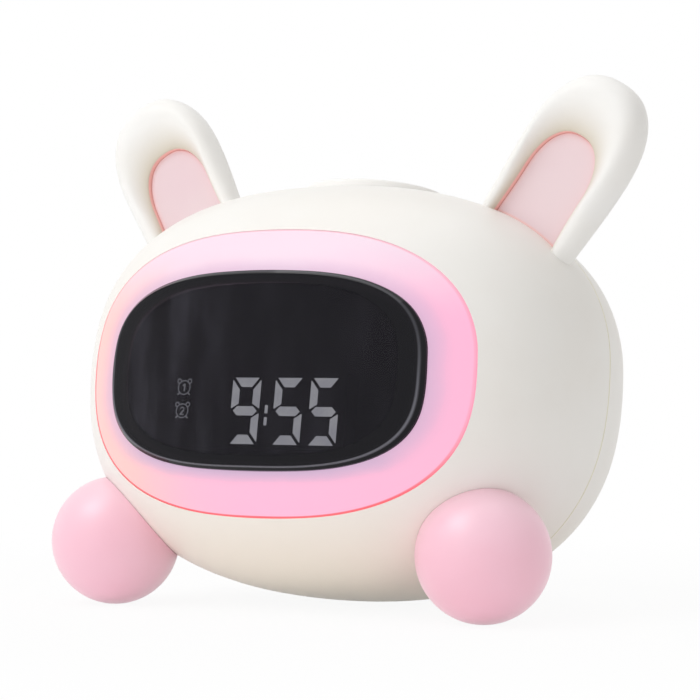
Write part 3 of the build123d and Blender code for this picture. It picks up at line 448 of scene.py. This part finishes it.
def ear_pink(body, colours):
    """Soft pink of the panels, with a painted coral shade at their edges and where they meet the
    body.
    """
    finish = moulded("ear_pink", colours.ear_pink, tone(238, 212, 218), 0.5,
                     Specular_IOR_Level=0.3)
    x, y, z = finish.in_body(body)
    # Painted coral shade at the panel's edge and a painted contact shade where it meets the body
    foot = 1 - oval(x, z, body.half_width, body.rise, body.squareness).between(1.0, 1.012)
    finish.tint(0.6 * finish.blush().larger(foot), colours.blush)
    return finish.material


def ball_pink(body, colours):
    """Satin pink of the ball feet, with a painted highlight that makes them paler on top."""
    finish = moulded("ball_pink", colours.ball_pink, tone(254, 194, 212), 0.44,
                     Specular_IOR_Level=1.0, Coat_Roughness=0.4)
    x, y, z = finish.in_body(body)
    # Painted highlight: paler on top and toward the front, where the lamps light the balls
    top = (z - 0.5 * y).between(-34, -8)
    finish.tint(0.5 * top, tone(255, 222, 234))
    finish.set(Coat_Weight=0.8 + 0.2 * finish.noise(9, 2))
    return finish.material


def on_lens(body, x, z):
    """Below 1 on the lens, 1 on its outline and above 1 round it."""
    return oval(x, z - body.lens_centre, body.lens_half_width, body.lens_half_height,
                body.lens_squareness)


def ring_diffuser(body, colours):
    """Milky diffuser, lit from behind by a row of lamps of many colours."""
    finish = Finish("ring_diffuser", Emission_Strength=0.62, Specular_IOR_Level=0.3)
    x, y, z = finish.in_body(body)
    lower = body.ring_drop - body.ring_rise
    ring = oval(x, z - body.ring_centre, body.ring_half_width,
                body.ring_drop - lower * z.between(-8, 2), body.ring_squareness)
    cloud = finish.noise(14, 3, 0.55)
    side = (x + 14 * (cloud - 0.5)).between(-55, 5)
    glow = finish.mix(side, colours.glow_far, colours.glow_side)
    top = (z - 0.12 * abs(x) + 8 * (cloud - 0.5)).between(2, 32)
    glow = finish.mix(top, glow, colours.glow_top)
    low = (-1 * z).between(14, 34) * (x + 10).between(-40, 0)
    glow = finish.mix(0.6 * low, glow, colours.glow_low)
    near = 1 - (on_lens(body, x, z) + 0.05 * (cloud - 0.5)).between(1.0, 1.16)
    glow = finish.mix(0.75 * near * (1 - 0.45 * top), glow, colours.glow_near)
    bottom = (-1 * z).between(26, 33) * near
    glow = finish.mix(0.4 * bottom, glow, tone(190, 174, 204))
    edge = ring.between(0.984, 0.991) * (0.25 + 0.75 * (-1 * z - 0.25 * x).between(-6, 34))
    glow = finish.mix(edge, glow, colours.glow_edge)
    finish.set(
        Base_Color=finish.mix(0.52, glow, (0.0, 0.0, 0.0)),
        Emission_Color=glow,
        Roughness=0.4 + 0.1 * cloud,
        Normal=finish.bump(finish.noise(0.5, 3), 0.01, 0.5),
    )
    return finish.material


def lens_smoke(body, colours):
    """Smoked lens: gloss with faint upright smears, and a painted highlight along its rounded
    edge.
    """
    finish = Finish("lens_smoke", IOR=1.49, Specular_IOR_Level=0.2)
    x, y, z = finish.in_body(body)
    rim = on_lens(body, x, z)
    border = rim.between(0.84, 0.87)
    smear = finish.noise(12, 4, 0.6, finish.stretched(1.0, 1.0, 0.16))
    dust = finish.cells(1.7)
    far = 1 - x.between(-40, 10)
    smeared = finish.mix(smear.between(0.4, 0.75) * (0.25 + 0.75 * far), colours.lens,
                         tone(62, 61, 70))
    # Printed dark border, with a painted highlight on the rounded edge, stronger towards the
    # bottom
    bevel = rim.between(0.962, 0.972) * (1 - rim.between(0.976, 0.986))
    border_and_highlight = finish.mix(bevel * (0.35 + 0.65 * (-1 * z).between(-10, 20)), tone(12, 11, 18),
                        tone(104, 104, 112))
    finish.set(
        Base_Color=finish.mix(border, smeared, border_and_highlight),
        Alpha=(0.93 * border).larger(0.6 + 0.03 * smear).larger(rim.between(0.94, 0.95)),
        Roughness=0.05 + 0.16 * smear.between(0.5, 0.85) + 0.2 * (dust < 0.05),
        Normal=finish.bump(finish.noise(30, 2), 0.05, 0.2),
    )
    return finish.material


def inner_black(body, colours):
    """Matt black plastic behind the lens."""
    return moulded("inner_black", colours.black, tone(31, 30, 36), 0.6,
                   Specular_IOR_Level=0.25).material


def figure_light(body, colours):
    """Lit bars: light that is nearly even."""
    finish = Finish("figure_light", Emission_Strength=1.6, Specular_IOR_Level=0.1)
    spread = finish.noise(5, 2)
    lit = finish.mix(spread.between(0.3, 0.7), tone(232, 232, 245), colours.figures)
    return finish.follow(spread, tone(150, 150, 160), tone(170, 170, 180), 0.5, 0.1,
                         Emission_Color=lit)


def icon_grey(body, colours):
    """Printed outlines of the two small clocks, lit from behind."""
    finish = Finish("icon_grey", Emission_Strength=1.0, Specular_IOR_Level=0.1)
    ink = finish.noise(0.8, 2)
    return finish.follow(ink, tone(110, 110, 120), tone(130, 130, 140), 0.6, 0.1,
                         Emission_Color=finish.mix(ink, tone(190, 190, 200), colours.icons))


def circuit_board(body, colours):
    """Solder mask over fine tracks, with pads."""
    finish = Finish("circuit_board", Specular_IOR_Level=0.5)
    track = finish.cells(5.0, "DISTANCE_TO_EDGE")
    line = 1 - track.between(0.03, 0.07)
    pad = 1 - finish.cells(3.1).between(0.10, 0.16)
    mask = finish.mix(finish.noise(20, 2), colours.board, tone(14, 78, 52))
    mask = finish.mix(0.55 * line, mask, tone(58, 140, 96))
    finish.set(
        Base_Color=finish.mix(pad, mask, tone(214, 190, 120)),
        Metallic=0.8 * pad,
        Roughness=0.3 + 0.1 * finish.noise(2, 2) - 0.05 * line,
        Normal=finish.bump(line.larger(pad), 0.03, 0.6),
    )
    return finish.material


def led_white(body, colours):
    """Small lamps: a white case round a yellowish window."""
    finish = Finish("led_white", Emission_Strength=0.4, Specular_IOR_Level=0.5)
    grain = finish.noise(1.5, 2)
    lit = finish.mix(grain, tone(255, 190, 214), tone(255, 214, 226))
    return finish.follow(grain, tone(246, 244, 236), tone(236, 228, 190), 0.3, 0.15,
                         Emission_Color=lit)


def chip_black(body, colours):
    """Epoxy of the chips, matt, with a fine sparkle."""
    return moulded("chip_black", tone(30, 30, 32), tone(42, 42, 45), 0.55, grain=0.2,
                   Specular_IOR_Level=0.4).material


def inner_white(body, colours):
    """Natural plastic of the frame and the holders inside."""
    return moulded("inner_white", tone(235, 234, 230), tone(226, 225, 220), 0.5,
                   grain=0.6, Specular_IOR_Level=0.4).material


def cell_wrap(body, colours):
    """Shrunk sleeve of the battery cell."""
    finish = Finish("cell_wrap", Specular_IOR_Level=0.6, Coat_Roughness=0.1)
    wrinkle = finish.noise(4, 3, 0.5, finish.stretched(0.3, 1, 1))
    return finish.follow(wrinkle, tone(52, 112, 190), tone(62, 126, 205), 0.22, 0.15,
                         Coat_Weight=0.3 + 0.2 * wrinkle,
                         Normal=finish.bump(wrinkle, 0.08, 0.5))


def cable_white(body, colours):
    """Flat cable: its wires show as fine ridges."""
    finish = Finish("cable_white", Specular_IOR_Level=0.5)
    x, y, z = finish.in_body(body)
    pitch = 1.25
    ridge = 0.5 + 0.5 * (x * (2 * pi / pitch)).wave()
    finish.set(
        Base_Color=finish.mix(ridge, tone(206, 206, 204), tone(238, 238, 235)),
        Roughness=0.35 + 0.1 * finish.noise(3, 2),
        Normal=finish.bump(ridge, 0.15, 0.8),
    )
    return finish.material


def steel(name, dark, light, rough):
    """Plated steel with faint turning marks."""
    finish = Finish(name, Specular_IOR_Level=0.5)
    mark = finish.noise(0.6, 4, 0.6, finish.stretched(1, 0.2, 1))
    return finish.follow(mark, dark, light, rough, 0.15, Metallic=0.95 + 0.05 * mark,
                         Normal=finish.bump(mark, 0.01, 0.5))


def screw_steel(body, colours):
    """Zinc-plated screws."""
    return steel("screw_steel", tone(176, 178, 182), tone(206, 207, 210), 0.28)


def socket_steel(body, colours):
    """Bright shell of the charging socket."""
    return steel("socket_steel", tone(186, 187, 190), tone(214, 214, 216), 0.22)


def magnet_steel(body, colours):
    """Nickel-plated magnet."""
    return steel("magnet_steel", tone(160, 160, 164), tone(190, 190, 194), 0.3)


def speaker_black(body, colours):
    """Coated paper of the speaker's cone and its pressed basket."""
    finish = Finish("speaker_black", Specular_IOR_Level=0.3)
    fibre = finish.noise(0.7, 5, 0.7)
    return finish.follow(fibre, tone(26, 25, 27), tone(48, 47, 50), 0.65, 0.2,
                         Normal=finish.bump(fibre, 0.05, 0.8))


def gasket_foam(body, colours):
    """Open foam."""
    finish = Finish("gasket_foam", Specular_IOR_Level=0.2)
    pore = finish.cells(0.9)
    finish.set(
        Base_Color=finish.mix(pore.between(0.1, 0.5), tone(28, 28, 30), tone(62, 62, 66)),
        Roughness=0.85 + 0.1 * pore,
        Normal=finish.bump(pore, 0.2, 0.9),
    )
    return finish.material


def foot_rubber(body, colours):
    """Grey rubber, matt, a little worn where it stands."""
    finish = Finish("foot_rubber", Specular_IOR_Level=0.3)
    x, y, z = finish.parts(finish.place())
    wear = 1 - (z + 0.0006 * finish.noise(2, 3)).between(0.0004, 0.0012)
    finish.set(
        Base_Color=finish.mix(0.5 * wear, colours.rubber, tone(176, 174, 172)),
        Roughness=0.7 + 0.12 * finish.noise(1.2, 3) - 0.1 * wear,
        Normal=finish.bump(finish.noise(0.4, 3), 0.03, 0.7),
    )
    return finish.material


def key_pink(body, colours):
    """Satin pink of the keys, with darker signs in their hollows."""
    finish = moulded("key_pink", colours.key_pink, tone(240, 188, 202), 0.42,
                     Specular_IOR_Level=0.45)
    x, y, z = finish.in_body(body)
    sign = (body.key_sign - y).between(0.0, 0.06) * (y > body.key_side)
    finish.tint(0.6 * sign, tone(196, 120, 140))
    return finish.material


FINISHES = {finish.__name__: finish for finish in (
    shell_ivory, ball_pink, ring_diffuser, lens_smoke, inner_black, figure_light,
    circuit_board, led_white, chip_black, inner_white, cell_wrap, cable_white, screw_steel,
    socket_steel, magnet_steel, speaker_black, gasket_foam, foot_rubber, key_pink,
)}


def dress(names, context):
    """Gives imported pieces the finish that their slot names."""
    scene = context.scene
    for name in names:
        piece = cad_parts[name]
        for slot in piece.material_slots:
            kind = slot.material.name.split(".")[0]
            made = bpy.data.materials.get("finish " + kind)
            if made is None:
                made = FINISHES[kind](Drawing(scene.clock_body), scene.clock_colours)
                made.name = "finish " + kind
            slot.material = made


# ------ shaping


def body_frame(body):
    """From the body's own frame, in millimetres, to the clock's, in metres."""
    place = Matrix.Translation((0, body.centre_back * MM, body.centre_height * MM))
    return place @ Matrix.Rotation(-body.lean, 4, "X") @ Matrix.Scale(MM, 4)


def fullness(body, point):
    """Below 1 inside the egg, 1 on its skin and above 1 outside; the point is in its frame."""
    x, y, z = point
    girth = oval(x, z, body.half_width, body.rise if z > 0 else body.drop, body.squareness)
    if y < 0:
        return girth ** body.front_squareness + (-y / body.front) ** body.front_squareness
    return girth ** body.rear_squareness + (y / body.rear) ** body.rear_squareness


class Ear(Drawing):
    """What an ear's rings are drawn from, in the right ear's own frame and in millimetres:
    x goes across, y along the ear and z out of its face."""

    side_share = 0.22         # share of a ring's vertices that goes to each straight side
    skin_below = 20.0         # the body's skin is looked for from this far under the foot
    skin_halvings = 24
    narrow = 6.0              # a rim this narrow has no funnel
    widening = 8.0            # and one that is this much wider has all of it
    settles = 3               # rounds that bring a side's height and width into line
    droop_power = 1.5         # over 1, the crest drops more towards the foot

    def __init__(self, scene):
        super().__init__(scene.clock_ears)
        self.body = Drawing(scene.clock_body)
        across = Vector((cos(self.lean), 0, -sin(self.lean)))
        along = Vector((sin(self.lean), 0, cos(self.lean)))
        out = Vector((0, -1, 0))
        root = Matrix.Translation(across * self.offset + out * self.forward)
        self.to_body = root @ Matrix((across, along, out)).transposed().to_4x4()
        self.to_clock = body_frame(self.body) @ self.to_body
        self.full = self.thickness / 2
        self.lip = self.full - self.dish
        self.floor = self.lip - self.step

    def skin(self, x, z):
        """The height at which the ear's foot meets the body's skin."""
        low, high = self.foot - self.skin_below, self.widest
        for step in range(self.skin_halvings):
            middle = (low + high) / 2
            if fullness(self.body, self.to_body @ Vector((x, middle, z))) < 1:
                low = middle
            else:
                high = middle
        return low - self.sunk

    def petal(self, turn, z, half_width, foot_half_width, widest, tip, shift=0.0):
        """A point of a petal outline: turn is the share of the way round from the right."""
        if turn <= 0.5:
            angle = 2 * pi * turn
            power = 2 / self.tip_squareness
            across = abs(cos(angle)) ** power * (1 if turn < 0.25 else -1)
            return Vector((shift + half_width * across, widest + tip * sin(angle) ** power, z))
        side = -1 if turn < 0.75 else 1
        down = ((turn - 0.5) if side < 0 else (1 - turn)) / self.side_share
        x = shift + side * half_width
        for settle in range(self.settles):
            y = widest + (self.skin(x, z) - widest) * min(down, 1)
            fall = min(max((widest - y) / (widest - self.foot), 0), 1)
            fall = fall * fall * (3 - 2 * fall)
            x = shift + side * (half_width + (foot_half_width - half_width) * fall)
        if down > 1:
            inward = (0.25 - self.side_share) / self.side_share
            x = shift + (x - shift) * (1 - (down - 1) / inward)
            y = self.skin(x, z)
        return Vector((x, y, z))

    def fall(self, y):
        """0 at the ear's tip and 1 at its foot."""
        return (self.widest + self.tip - y) / (self.widest + self.tip - self.foot)

    def outline(self, turn, inset, z):
        """The ear's outline, drawn in by inset."""
        return self.petal(turn, z, self.half_width - inset, self.foot_half_width - inset,
                          self.widest, self.tip - inset)

    def panel(self, turn, z, inset=0.0):
        """The outline of the panel."""
        return self.petal(turn, z, self.panel_half_width - inset,
                          self.panel_foot_half_width - inset, self.panel_widest,
                          self.panel_tip - inset, self.panel_shift)

    def rim(self, turn, inner, inward, sink):
        """A point of the rim on the outer or the inner side of its crest: inward is
        the share of the way across that side, and sink the share of its depth."""
        edge = self.outline(turn, 0, 0)
        width = (edge - self.panel(turn, 0)).length
        crest = min(self.crest, self.crest_most / width)
        top = self.full - self.droop * self.fall(edge.y) ** self.droop_power
        if inner:
            along, deep = crest + (1 - crest) * inward, top - self.lip
            wide = min(max((width - self.narrow) / self.widening, 0), 1)
            slope = inward * inward * (2.2 - 1.2 * inward)
            sink += (slope - sink) * self.funnel * wide
        else:
            along = crest * inward
            deep = min(self.rim_roundness * crest * width, self.rim_most)
        height = top - deep * sink
        return self.outline(turn, 0, height).lerp(self.panel(turn, height), along)


def extruded(bm, edges, place):
    """Extrudes a ring of edges and places the new ring."""
    made = bmesh.ops.extrude_edge_only(bm, edges=edges)["geom"]
    ring = {item for item in made if isinstance(item, bmesh.types.BMVert)}
    edges = [item for item in made if isinstance(item, bmesh.types.BMEdge)
             and all(vertex in ring for vertex in item.verts)]
    place(ring)
    return edges


def drawn_through(rings, count, bm=None):
    """A closed skin: a circle of vertices, extruded from ring to ring and capped.
    Each ring is a function of the share of the way round, and the painted shade and glow that it
    carries."""
    bm = bm or bmesh.new()
    turn, blush = (bm.verts.layers.float.get(name) or bm.verts.layers.float.new(name)
                   for name in ("turn", "blush"))

    def placer(shape, tint):
        def place(vertices):
            for vertex in vertices:
                vertex.co = shape(vertex[turn])
                vertex[blush] = tint
        return place

    first = bmesh.ops.create_circle(bm, segments=count, radius=1.0)["verts"]
    for index, vertex in enumerate(first):
        vertex[turn] = index / count
    edges = list({edge for vertex in first for edge in vertex.link_edges})
    first_edges = edges
    placer(*rings[0])(first)
    for shape, tint in rings[1:]:
        edges = extruded(bm, edges, placer(shape, tint))
    bmesh.ops.holes_fill(bm, edges=first_edges, sides=0)
    bmesh.ops.holes_fill(bm, edges=edges, sides=0)
    return bm


def finished(bm, name, material, node, context, body="clock", sharp=50):
    """Makes a piece of a finished mesh, hides the imported piece that it stands for, and sets it
    on what it rides on.
    """
    bmesh.ops.recalc_face_normals(bm, faces=bm.faces[:])
    mesh = bpy.data.meshes.new(name)
    bm.to_mesh(mesh)
    bm.free()
    for face in mesh.polygons:
        face.use_smooth = True
    mesh.set_sharp_from_angle(angle=radians(sharp))
    mesh.materials.append(material)
    piece = bpy.data.objects.new(name, mesh)
    context.scene.collection.objects.link(piece)
    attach(piece, body)
    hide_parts(node)


def both_sides(build, name, material, node, context):
    """The right piece, and its mirror image on the left."""
    for side in ("right", "left"):
        bm = build()
        if side == "left":
            bmesh.ops.scale(bm, vec=(-1, 1, 1), verts=bm.verts)
        finished(bm, f"{side}_{name}", material, f"{side}_{node}", context)


# ------ operators


class Dressing:
    """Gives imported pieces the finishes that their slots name."""

    def execute(self, context):
        dress(self.pieces, context)
        return {"FINISHED"}


class CLOCK_OT_shells(Dressing, bpy.types.Operator):
    """Finish the two shells and the button in the crown"""

    bl_idname = "clock.shells"
    bl_label = "Shells and button"
    pieces = ("front_shell", "rear_shell", "top_button")


class CLOCK_OT_ears(bpy.types.Operator):
    """Shape the two ear shells: a round rim, a dish and a fine step down to the panel"""

    bl_idname = "clock.ears"
    bl_label = "Ear shells"

    def execute(self, context):
        ear = Ear(context.scene)
        quarter = pi / 2 - 1e-6       # short of a right angle, so no root is taken below 0
        power = 2 / ear.crest_roundness
        boxy = 0.2                    # power that makes the neck's ring an oblong

        def ring(shape, blush=0.0):
            return lambda turn: ear.to_clock @ shape(turn), blush

        def steps(shape, count, first=0):
            return [shape(quarter * step / count) for step in range(first, count + 1)]

        def back(angle, further=0.0):
            inset = ear.round_back * (1 - sin(angle)) + further
            z = -ear.full + ear.round_back * (1 - cos(angle))

            def shape(turn):
                fall = ear.fall(ear.outline(turn, inset, z).y)
                return ear.outline(turn, inset, z + ear.taper * fall * cos(angle))
            return ring(shape)

        def crest(angle):
            inward, sink = 1 - cos(angle) ** power, 1 - sin(angle) ** power
            return ring(lambda turn: ear.rim(turn, False, inward, sink))

        def dish(angle):
            inward, sink = sin(angle) ** power, 1 - cos(angle) ** power
            # Painted shade down the dish, deepest at the lip
            shade = 0.5 * angle / quarter
            return ring(lambda turn: ear.rim(turn, True, inward, sink), shade)

        def wall(z, inset, tint):
            return ring(lambda turn: ear.panel(turn, z, inset), tint)

        def neck(deep, spread=1.0):
            """A ring of the ear's neck, which fills its slot in the body: how deep it lies
            under the skin, and its share of the neck's thickness."""
            half = ear.neck_thickness / 2

            def shape(turn):
                across, back = cos(2 * pi * turn), sin(2 * pi * turn)
                x = ear.neck_half_width * copysign(abs(across) ** boxy, across)
                z = half * (1 + spread * copysign(abs(back) ** boxy, back)) - ear.forward
                return Vector((x, ear.skin(x, z) - deep, z))
            return ring(shape)

        def build():
            rings = [back(0, 4)] + steps(back, 8) + steps(crest, 12) + steps(dish, 18, first=1)
            # From the lip down beside the panel and in under it; these rings carry a painted
            # coral glow
            rings += [wall(ear.lip - 0.1, 0.04, 0.85), wall(ear.lip - 0.35, 0.10, 1.0),
                      wall(ear.floor - 0.25, 0.16, 1.0), wall(ear.floor - 0.3, 3.0, 1.0)]
            bm = drawn_through(rings, ear.segments)
            root = [neck(4)] + [neck(0, spread) for spread in (1.0, 0.7, 0.3, 0.05)]
            return drawn_through(root, ear.segments, bm)

        material = ear_ivory(context.scene.clock_colours)
        both_sides(build, "ear", material, "ear_shell", context)
        return {"FINISHED"}


class CLOCK_OT_ear_panels(bpy.types.Operator):
    """Shape the pink panels that lie in the ears"""

    bl_idname = "clock.ear_panels"
    bl_label = "Ear panels"

    def execute(self, context):
        scene = context.scene
        ear = Ear(scene)
        low, floor, bevel = ear.floor - ear.panel_thickness, ear.floor, 0.9
        # The panel's faces narrow to this point
        middle = Vector((ear.panel_shift, ear.panel_widest - 2, 0))

        def ring(inset, z, tint, scale=1.0):
            def shape(turn):
                point = middle.lerp(ear.panel(turn, z, inset), scale)
                point.z = z
                return ear.to_clock @ point
            return shape, tint

        def build():
            # Each ring: its inset, its height, its painted shade and glow, and its share of the
            # full size
            rings = [ring(0.3, low, 0, 0.2), ring(0.3, low, 0), ring(0.2, low + 0.1, 0)]
            # The rings round the panel's edge carry a painted coral shade
            rings += [ring(0.2, floor - 0.25, 0.7), ring(0.27, floor - 0.07, 0.6),
                      ring(bevel / 2, floor, 0.45), ring(bevel, floor, 0.2)]
            rings += [ring(bevel, floor - hollow, 0.0, scale) for hollow, scale in
                      ((0.02, 0.93), (0.05, 0.8), (0.08, 0.55), (0.1, 0.25), (0.1, 0.05))]
            return drawn_through(rings, ear.segments)

        material = ear_pink(ear.body, scene.clock_colours)
        both_sides(build, "ear_inlay", material, "ear_panel", context)
        return {"FINISHED"}


class CLOCK_OT_balls(Dressing, bpy.types.Operator):
    """Finish the two ball feet"""

    bl_idname = "clock.balls"
    bl_label = "Ball feet"
    pieces = ("left_ball_foot", "right_ball_foot")


class CLOCK_OT_ring(Dressing, bpy.types.Operator):
    """Finish the night light's ring and the lamps behind it"""

    bl_idname = "clock.ring"
    bl_label = "Light ring"
    pieces = ("light_ring", "light_board", "ring_leds", "light_cable")


class CLOCK_OT_display(Dressing, bpy.types.Operator):
    """Finish the smoked lens, the figures behind it and what carries them"""

    bl_idname = "clock.display"
    bl_label = "Lens and figures"
    pieces = ("display_lens", "display_carrier", "display_module", "digit_segments",
              "colon_dashes", "display_cable")


class CLOCK_OT_icons(bpy.types.Operator):
    """Draw the two alarm icons, each a ring with two bells, two feet and its number"""

    bl_idname = "clock.icons"
    bl_label = "Alarm icons"

    steps = 40                # of an arc

    def arc(self, middle, radius, start, sweep):
        """A line drawn round a middle."""
        icons = self.icons
        place = Matrix.Rotation(-start, 4, "Y") @ Matrix.Translation((radius, 0, 0))
        oblong = Matrix.Rotation(pi / 2, 4, "X") @ Matrix.Diagonal(
            (icons.line, icons.thickness, 1, 1))
        made = bmesh.ops.create_grid(self.bm, x_segments=1, y_segments=1, size=0.5,
                                     matrix=Matrix.Translation(middle) @ place @ oblong)
        edges = {edge for vertex in made["verts"] for edge in vertex.link_edges}
        faces = {face for vertex in made["verts"] for face in vertex.link_faces}
        bmesh.ops.delete(self.bm, geom=list(faces), context="FACES_ONLY")
        bmesh.ops.spin(self.bm, geom=made["verts"] + list(edges), cent=middle, axis=(0, -1, 0),
                       angle=sweep, steps=self.steps, use_merge=sweep == 2 * pi,
                       use_duplicate=False)

    def bar(self, start, end):
        """A straight line."""
        icons = self.icons
        along = end - start
        place = Matrix.Translation((start + end) / 2) @ Matrix.Rotation(
            -atan2(along.z, along.x), 4, "Y")
        bmesh.ops.create_cube(self.bm, size=1, matrix=place @ Matrix.Diagonal(
            (along.length, icons.thickness, icons.line, 1)))

    def clock_face(self, middle):
        """Ring, bells and feet of one icon."""
        icons = self.icons
        self.arc(middle, icons.radius, 0, 2 * pi)
        for side in (-1, 1):
            out = pi / 2 - side * icons.spread
            bell = middle + icons.bell_reach * Vector((cos(out), 0, sin(out)))
            self.arc(bell, icons.bell, out - 0.7 * pi, 1.4 * pi)
            foot = Vector((cos(out), 0, -sin(out)))
            self.bar(middle + icons.radius * foot, middle + icons.foot_reach * foot)

    def number(self, middle, figure):
        """The 1 or the 2 in an icon."""
        half = self.icons.number_height / 2

        def at(across, up):
            return middle + half * Vector((across, 0, up))
        if figure == 1:
            self.bar(at(0.1, -1), at(0.1, 1))
            self.bar(at(0.12, 0.98), at(-0.5, 0.5))
        else:
            self.arc(at(0, 0.45), 0.53 * half, radians(160), -radians(200))
            self.bar(at(0.41, 0.11), at(-0.52, -0.92))
            self.bar(at(-0.66, -1), at(0.6, -1))

    def execute(self, context):
        scene = context.scene
        body = Drawing(scene.clock_body)
        icons = self.icons = Drawing(scene.clock_icons)
        self.bm = bmesh.new()
        for count in range(2):
            middle = Vector((0, 0, -count * icons.pitch))
            self.clock_face(middle)
            self.number(middle, count + 1)
        bmesh.ops.holes_fill(self.bm, edges=self.bm.edges[:], sides=4)
        place = Vector((icons.across, -icons.depth - icons.thickness / 2, icons.upper))
        bmesh.ops.transform(self.bm, verts=self.bm.verts,
                            matrix=body_frame(body) @ Matrix.Translation(place))
        finished(self.bm, "alarm_icons_drawn", icon_grey(body, scene.clock_colours),
                 "alarm_icons", context)
        return {"FINISHED"}


class CLOCK_OT_back(Dressing, bpy.types.Operator):
    """Finish the keys, the charging socket, the speaker and the rubber feet"""

    bl_idname = "clock.back"
    bl_label = "Back"
    pieces = ("key_set", "key_minus", "key_plus", "key_alarm", "key_light", "key_board",
              "key_switches", "usb_socket", "usb_board", "speaker_gasket", "speaker_frame",
              "speaker_magnet", "speaker_cone", "left_rear_foot", "right_rear_foot")


class CLOCK_OT_inside(Dressing, bpy.types.Operator):
    """Finish the frame, the boards, the battery and the screws inside"""

    bl_idname = "clock.inside"
    bl_label = "Inside"
    pieces = ("inner_frame", "main_board", "main_chips", "battery_holder", "battery_cell",
              "button_guide", "button_board", "button_switch", "case_screws",
              "carrier_screws", "board_screws", "foot_screws")


def lamp(name, place, aim, size, power, context, shade=(1.0, 1.0, 1.0)):
    """A soft square lamp that looks at a point."""
    data = bpy.data.lights.new(name, "AREA")
    data.shape = "SQUARE"
    data.size = size
    data.energy = power
    data.color = shade
    made = bpy.data.objects.new(name, data)
    made.location = place
    made.rotation_mode = "QUATERNION"
    made.rotation_quaternion = (Vector(aim) - Vector(place)).to_track_quat("-Z", "Y")
    context.scene.collection.objects.link(made)
    return made


class CLOCK_OT_stage(bpy.types.Operator):
    """Set up the camera, the lamps, the floor and the pale room"""

    bl_idname = "clock.stage"
    bl_label = "Stage"

    def execute(self, context):
        scene = context.scene
        stage, body = scene.clock_stage, scene.clock_body
        self.camera(context, stage, body)
        aim = (0, 0, body.centre_height)
        cool = (0.96, 0.98, 1.0)
        # Each lamp: its place in metres, what it looks at, its side and its power
        lamp("key", (-0.72, -0.95, 1.55), aim, 0.9, stage.key, context, cool)
        low = lamp("low", (-0.4, -1.6, 0.22), aim, 0.9, stage.low, context)
        low.visible_glossy = False
        lamp("fill", (1.5, -0.6, 0.7), aim, 0.9, stage.fill, context)
        lamp("top", (-0.2, 0.3, 1.6), aim, 1.2, stage.top, context)
        self.room(context, stage)
        self.floor(context, stage)
        scene.view_settings.view_transform = "Standard"
        return {"FINISHED"}

    def camera(self, context, stage, body):
        data = bpy.data.cameras.new("camera")
        data.lens = stage.focal
        data.sensor_width = 36.0
        made = bpy.data.objects.new("camera", data)
        view = Vector((-sin(stage.azimuth), cos(stage.azimuth), 0))
        left = Vector((-cos(stage.azimuth), -sin(stage.azimuth), 0))
        start = Vector((0, body.centre_back, stage.height))
        made.location = start - view * stage.distance + left * stage.aside
        made.rotation_mode = "QUATERNION"
        made.rotation_quaternion = view.to_track_quat("-Z", "Y")
        context.scene.collection.objects.link(made)
        context.scene.camera = made

    def room(self, context, stage):
        """An even light from all round, white wherever it is seen straight or in gloss."""
        world = bpy.data.worlds.new("room")
        world.use_nodes = True
        sheet = Sheet(world.node_tree, "ShaderNodeOutputWorld")
        lit = sheet.node("ShaderNodeBackground",
                         {"Color": (1.0, 0.985, 0.965), "Strength": stage.room})
        white = sheet.node("ShaderNodeBackground", {"Color": (1.0, 1.0, 1.0), "Strength": 1.0})
        sheet.show(sheet.node("ShaderNodeMixShader", {0: sheet.seen(), 1: lit, 2: white}))
        context.scene.world = world

    def floor(self, context, stage):
        """A pale floor that keeps the clock's shadow and runs out into the white room."""
        bm = bmesh.new()
        bmesh.ops.create_circle(bm, cap_ends=True, segments=96, radius=6.0)
        mesh = bpy.data.meshes.new("floor")
        bm.to_mesh(mesh)
        bm.free()
        made = bpy.data.objects.new("floor", mesh)
        context.scene.collection.objects.link(made)
        finish = Finish("floor", Roughness=0.9, Specular_IOR_Level=0.1)
        x, y, z = finish.parts(finish.place())
        far = ((x * x + y * y) ** 0.5).between(0.11, 0.34)
        grain = finish.noise(30, 2)
        finish.set(Base_Color=finish.mix(grain, tone(250, 250, 250), tone(252, 252, 252)))
        white = finish.node("ShaderNodeEmission", {"Color": (1.0, 1.0, 1.0), "Strength": 1.0})
        gone = (stage.white + (1 - stage.white) * far) * finish.seen()
        finish.show(finish.node("ShaderNodeMixShader", {0: gone, 1: finish.shaded(), 2: white}))
        mesh.materials.append(finish.material)


OPERATORS = (
    CLOCK_OT_shells,
    CLOCK_OT_ears,
    CLOCK_OT_ear_panels,
    CLOCK_OT_balls,
    CLOCK_OT_ring,
    CLOCK_OT_display,
    CLOCK_OT_icons,
    CLOCK_OT_back,
    CLOCK_OT_inside,
    CLOCK_OT_stage,
)


class CLOCK_PT_panel(bpy.types.Panel):
    """Lists what the clock is finished with"""

    bl_idname = "CLOCK_PT_panel"
    bl_label = "Rabbit alarm clock"
    bl_space_type = "VIEW_3D"
    bl_region_type = "UI"
    bl_category = "Clock"

    def draw(self, context):
        for operator in OPERATORS:
            self.layout.operator(operator.bl_idname)
        for name, group in SETTINGS.items():
            column = self.layout.column(align=True)
            column.label(text=name.replace("clock_", "").capitalize())
            for key in group.__annotations__:
                column.prop(getattr(context.scene, name), key,
                            text=key.replace("_", " ").capitalize())


def register():
    for group in SETTINGS.values():
        bpy.utils.register_class(group)
    for operator in OPERATORS:
        bpy.utils.register_class(operator)
    bpy.utils.register_class(CLOCK_PT_panel)
    for name, group in SETTINGS.items():
        setattr(bpy.types.Scene, name, PointerProperty(type=group))


def unregister():
    for name in SETTINGS:
        delattr(bpy.types.Scene, name)
    bpy.utils.unregister_class(CLOCK_PT_panel)
    for operator in reversed(OPERATORS):
        bpy.utils.unregister_class(operator)
    for group in reversed(SETTINGS.values()):
        bpy.utils.unregister_class(group)


def main():
    register()
    for operator in OPERATORS:
        group, name = operator.bl_idname.split(".")
        getattr(getattr(bpy.ops, group), name)()
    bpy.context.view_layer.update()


if __name__ == "__main__":
    main()
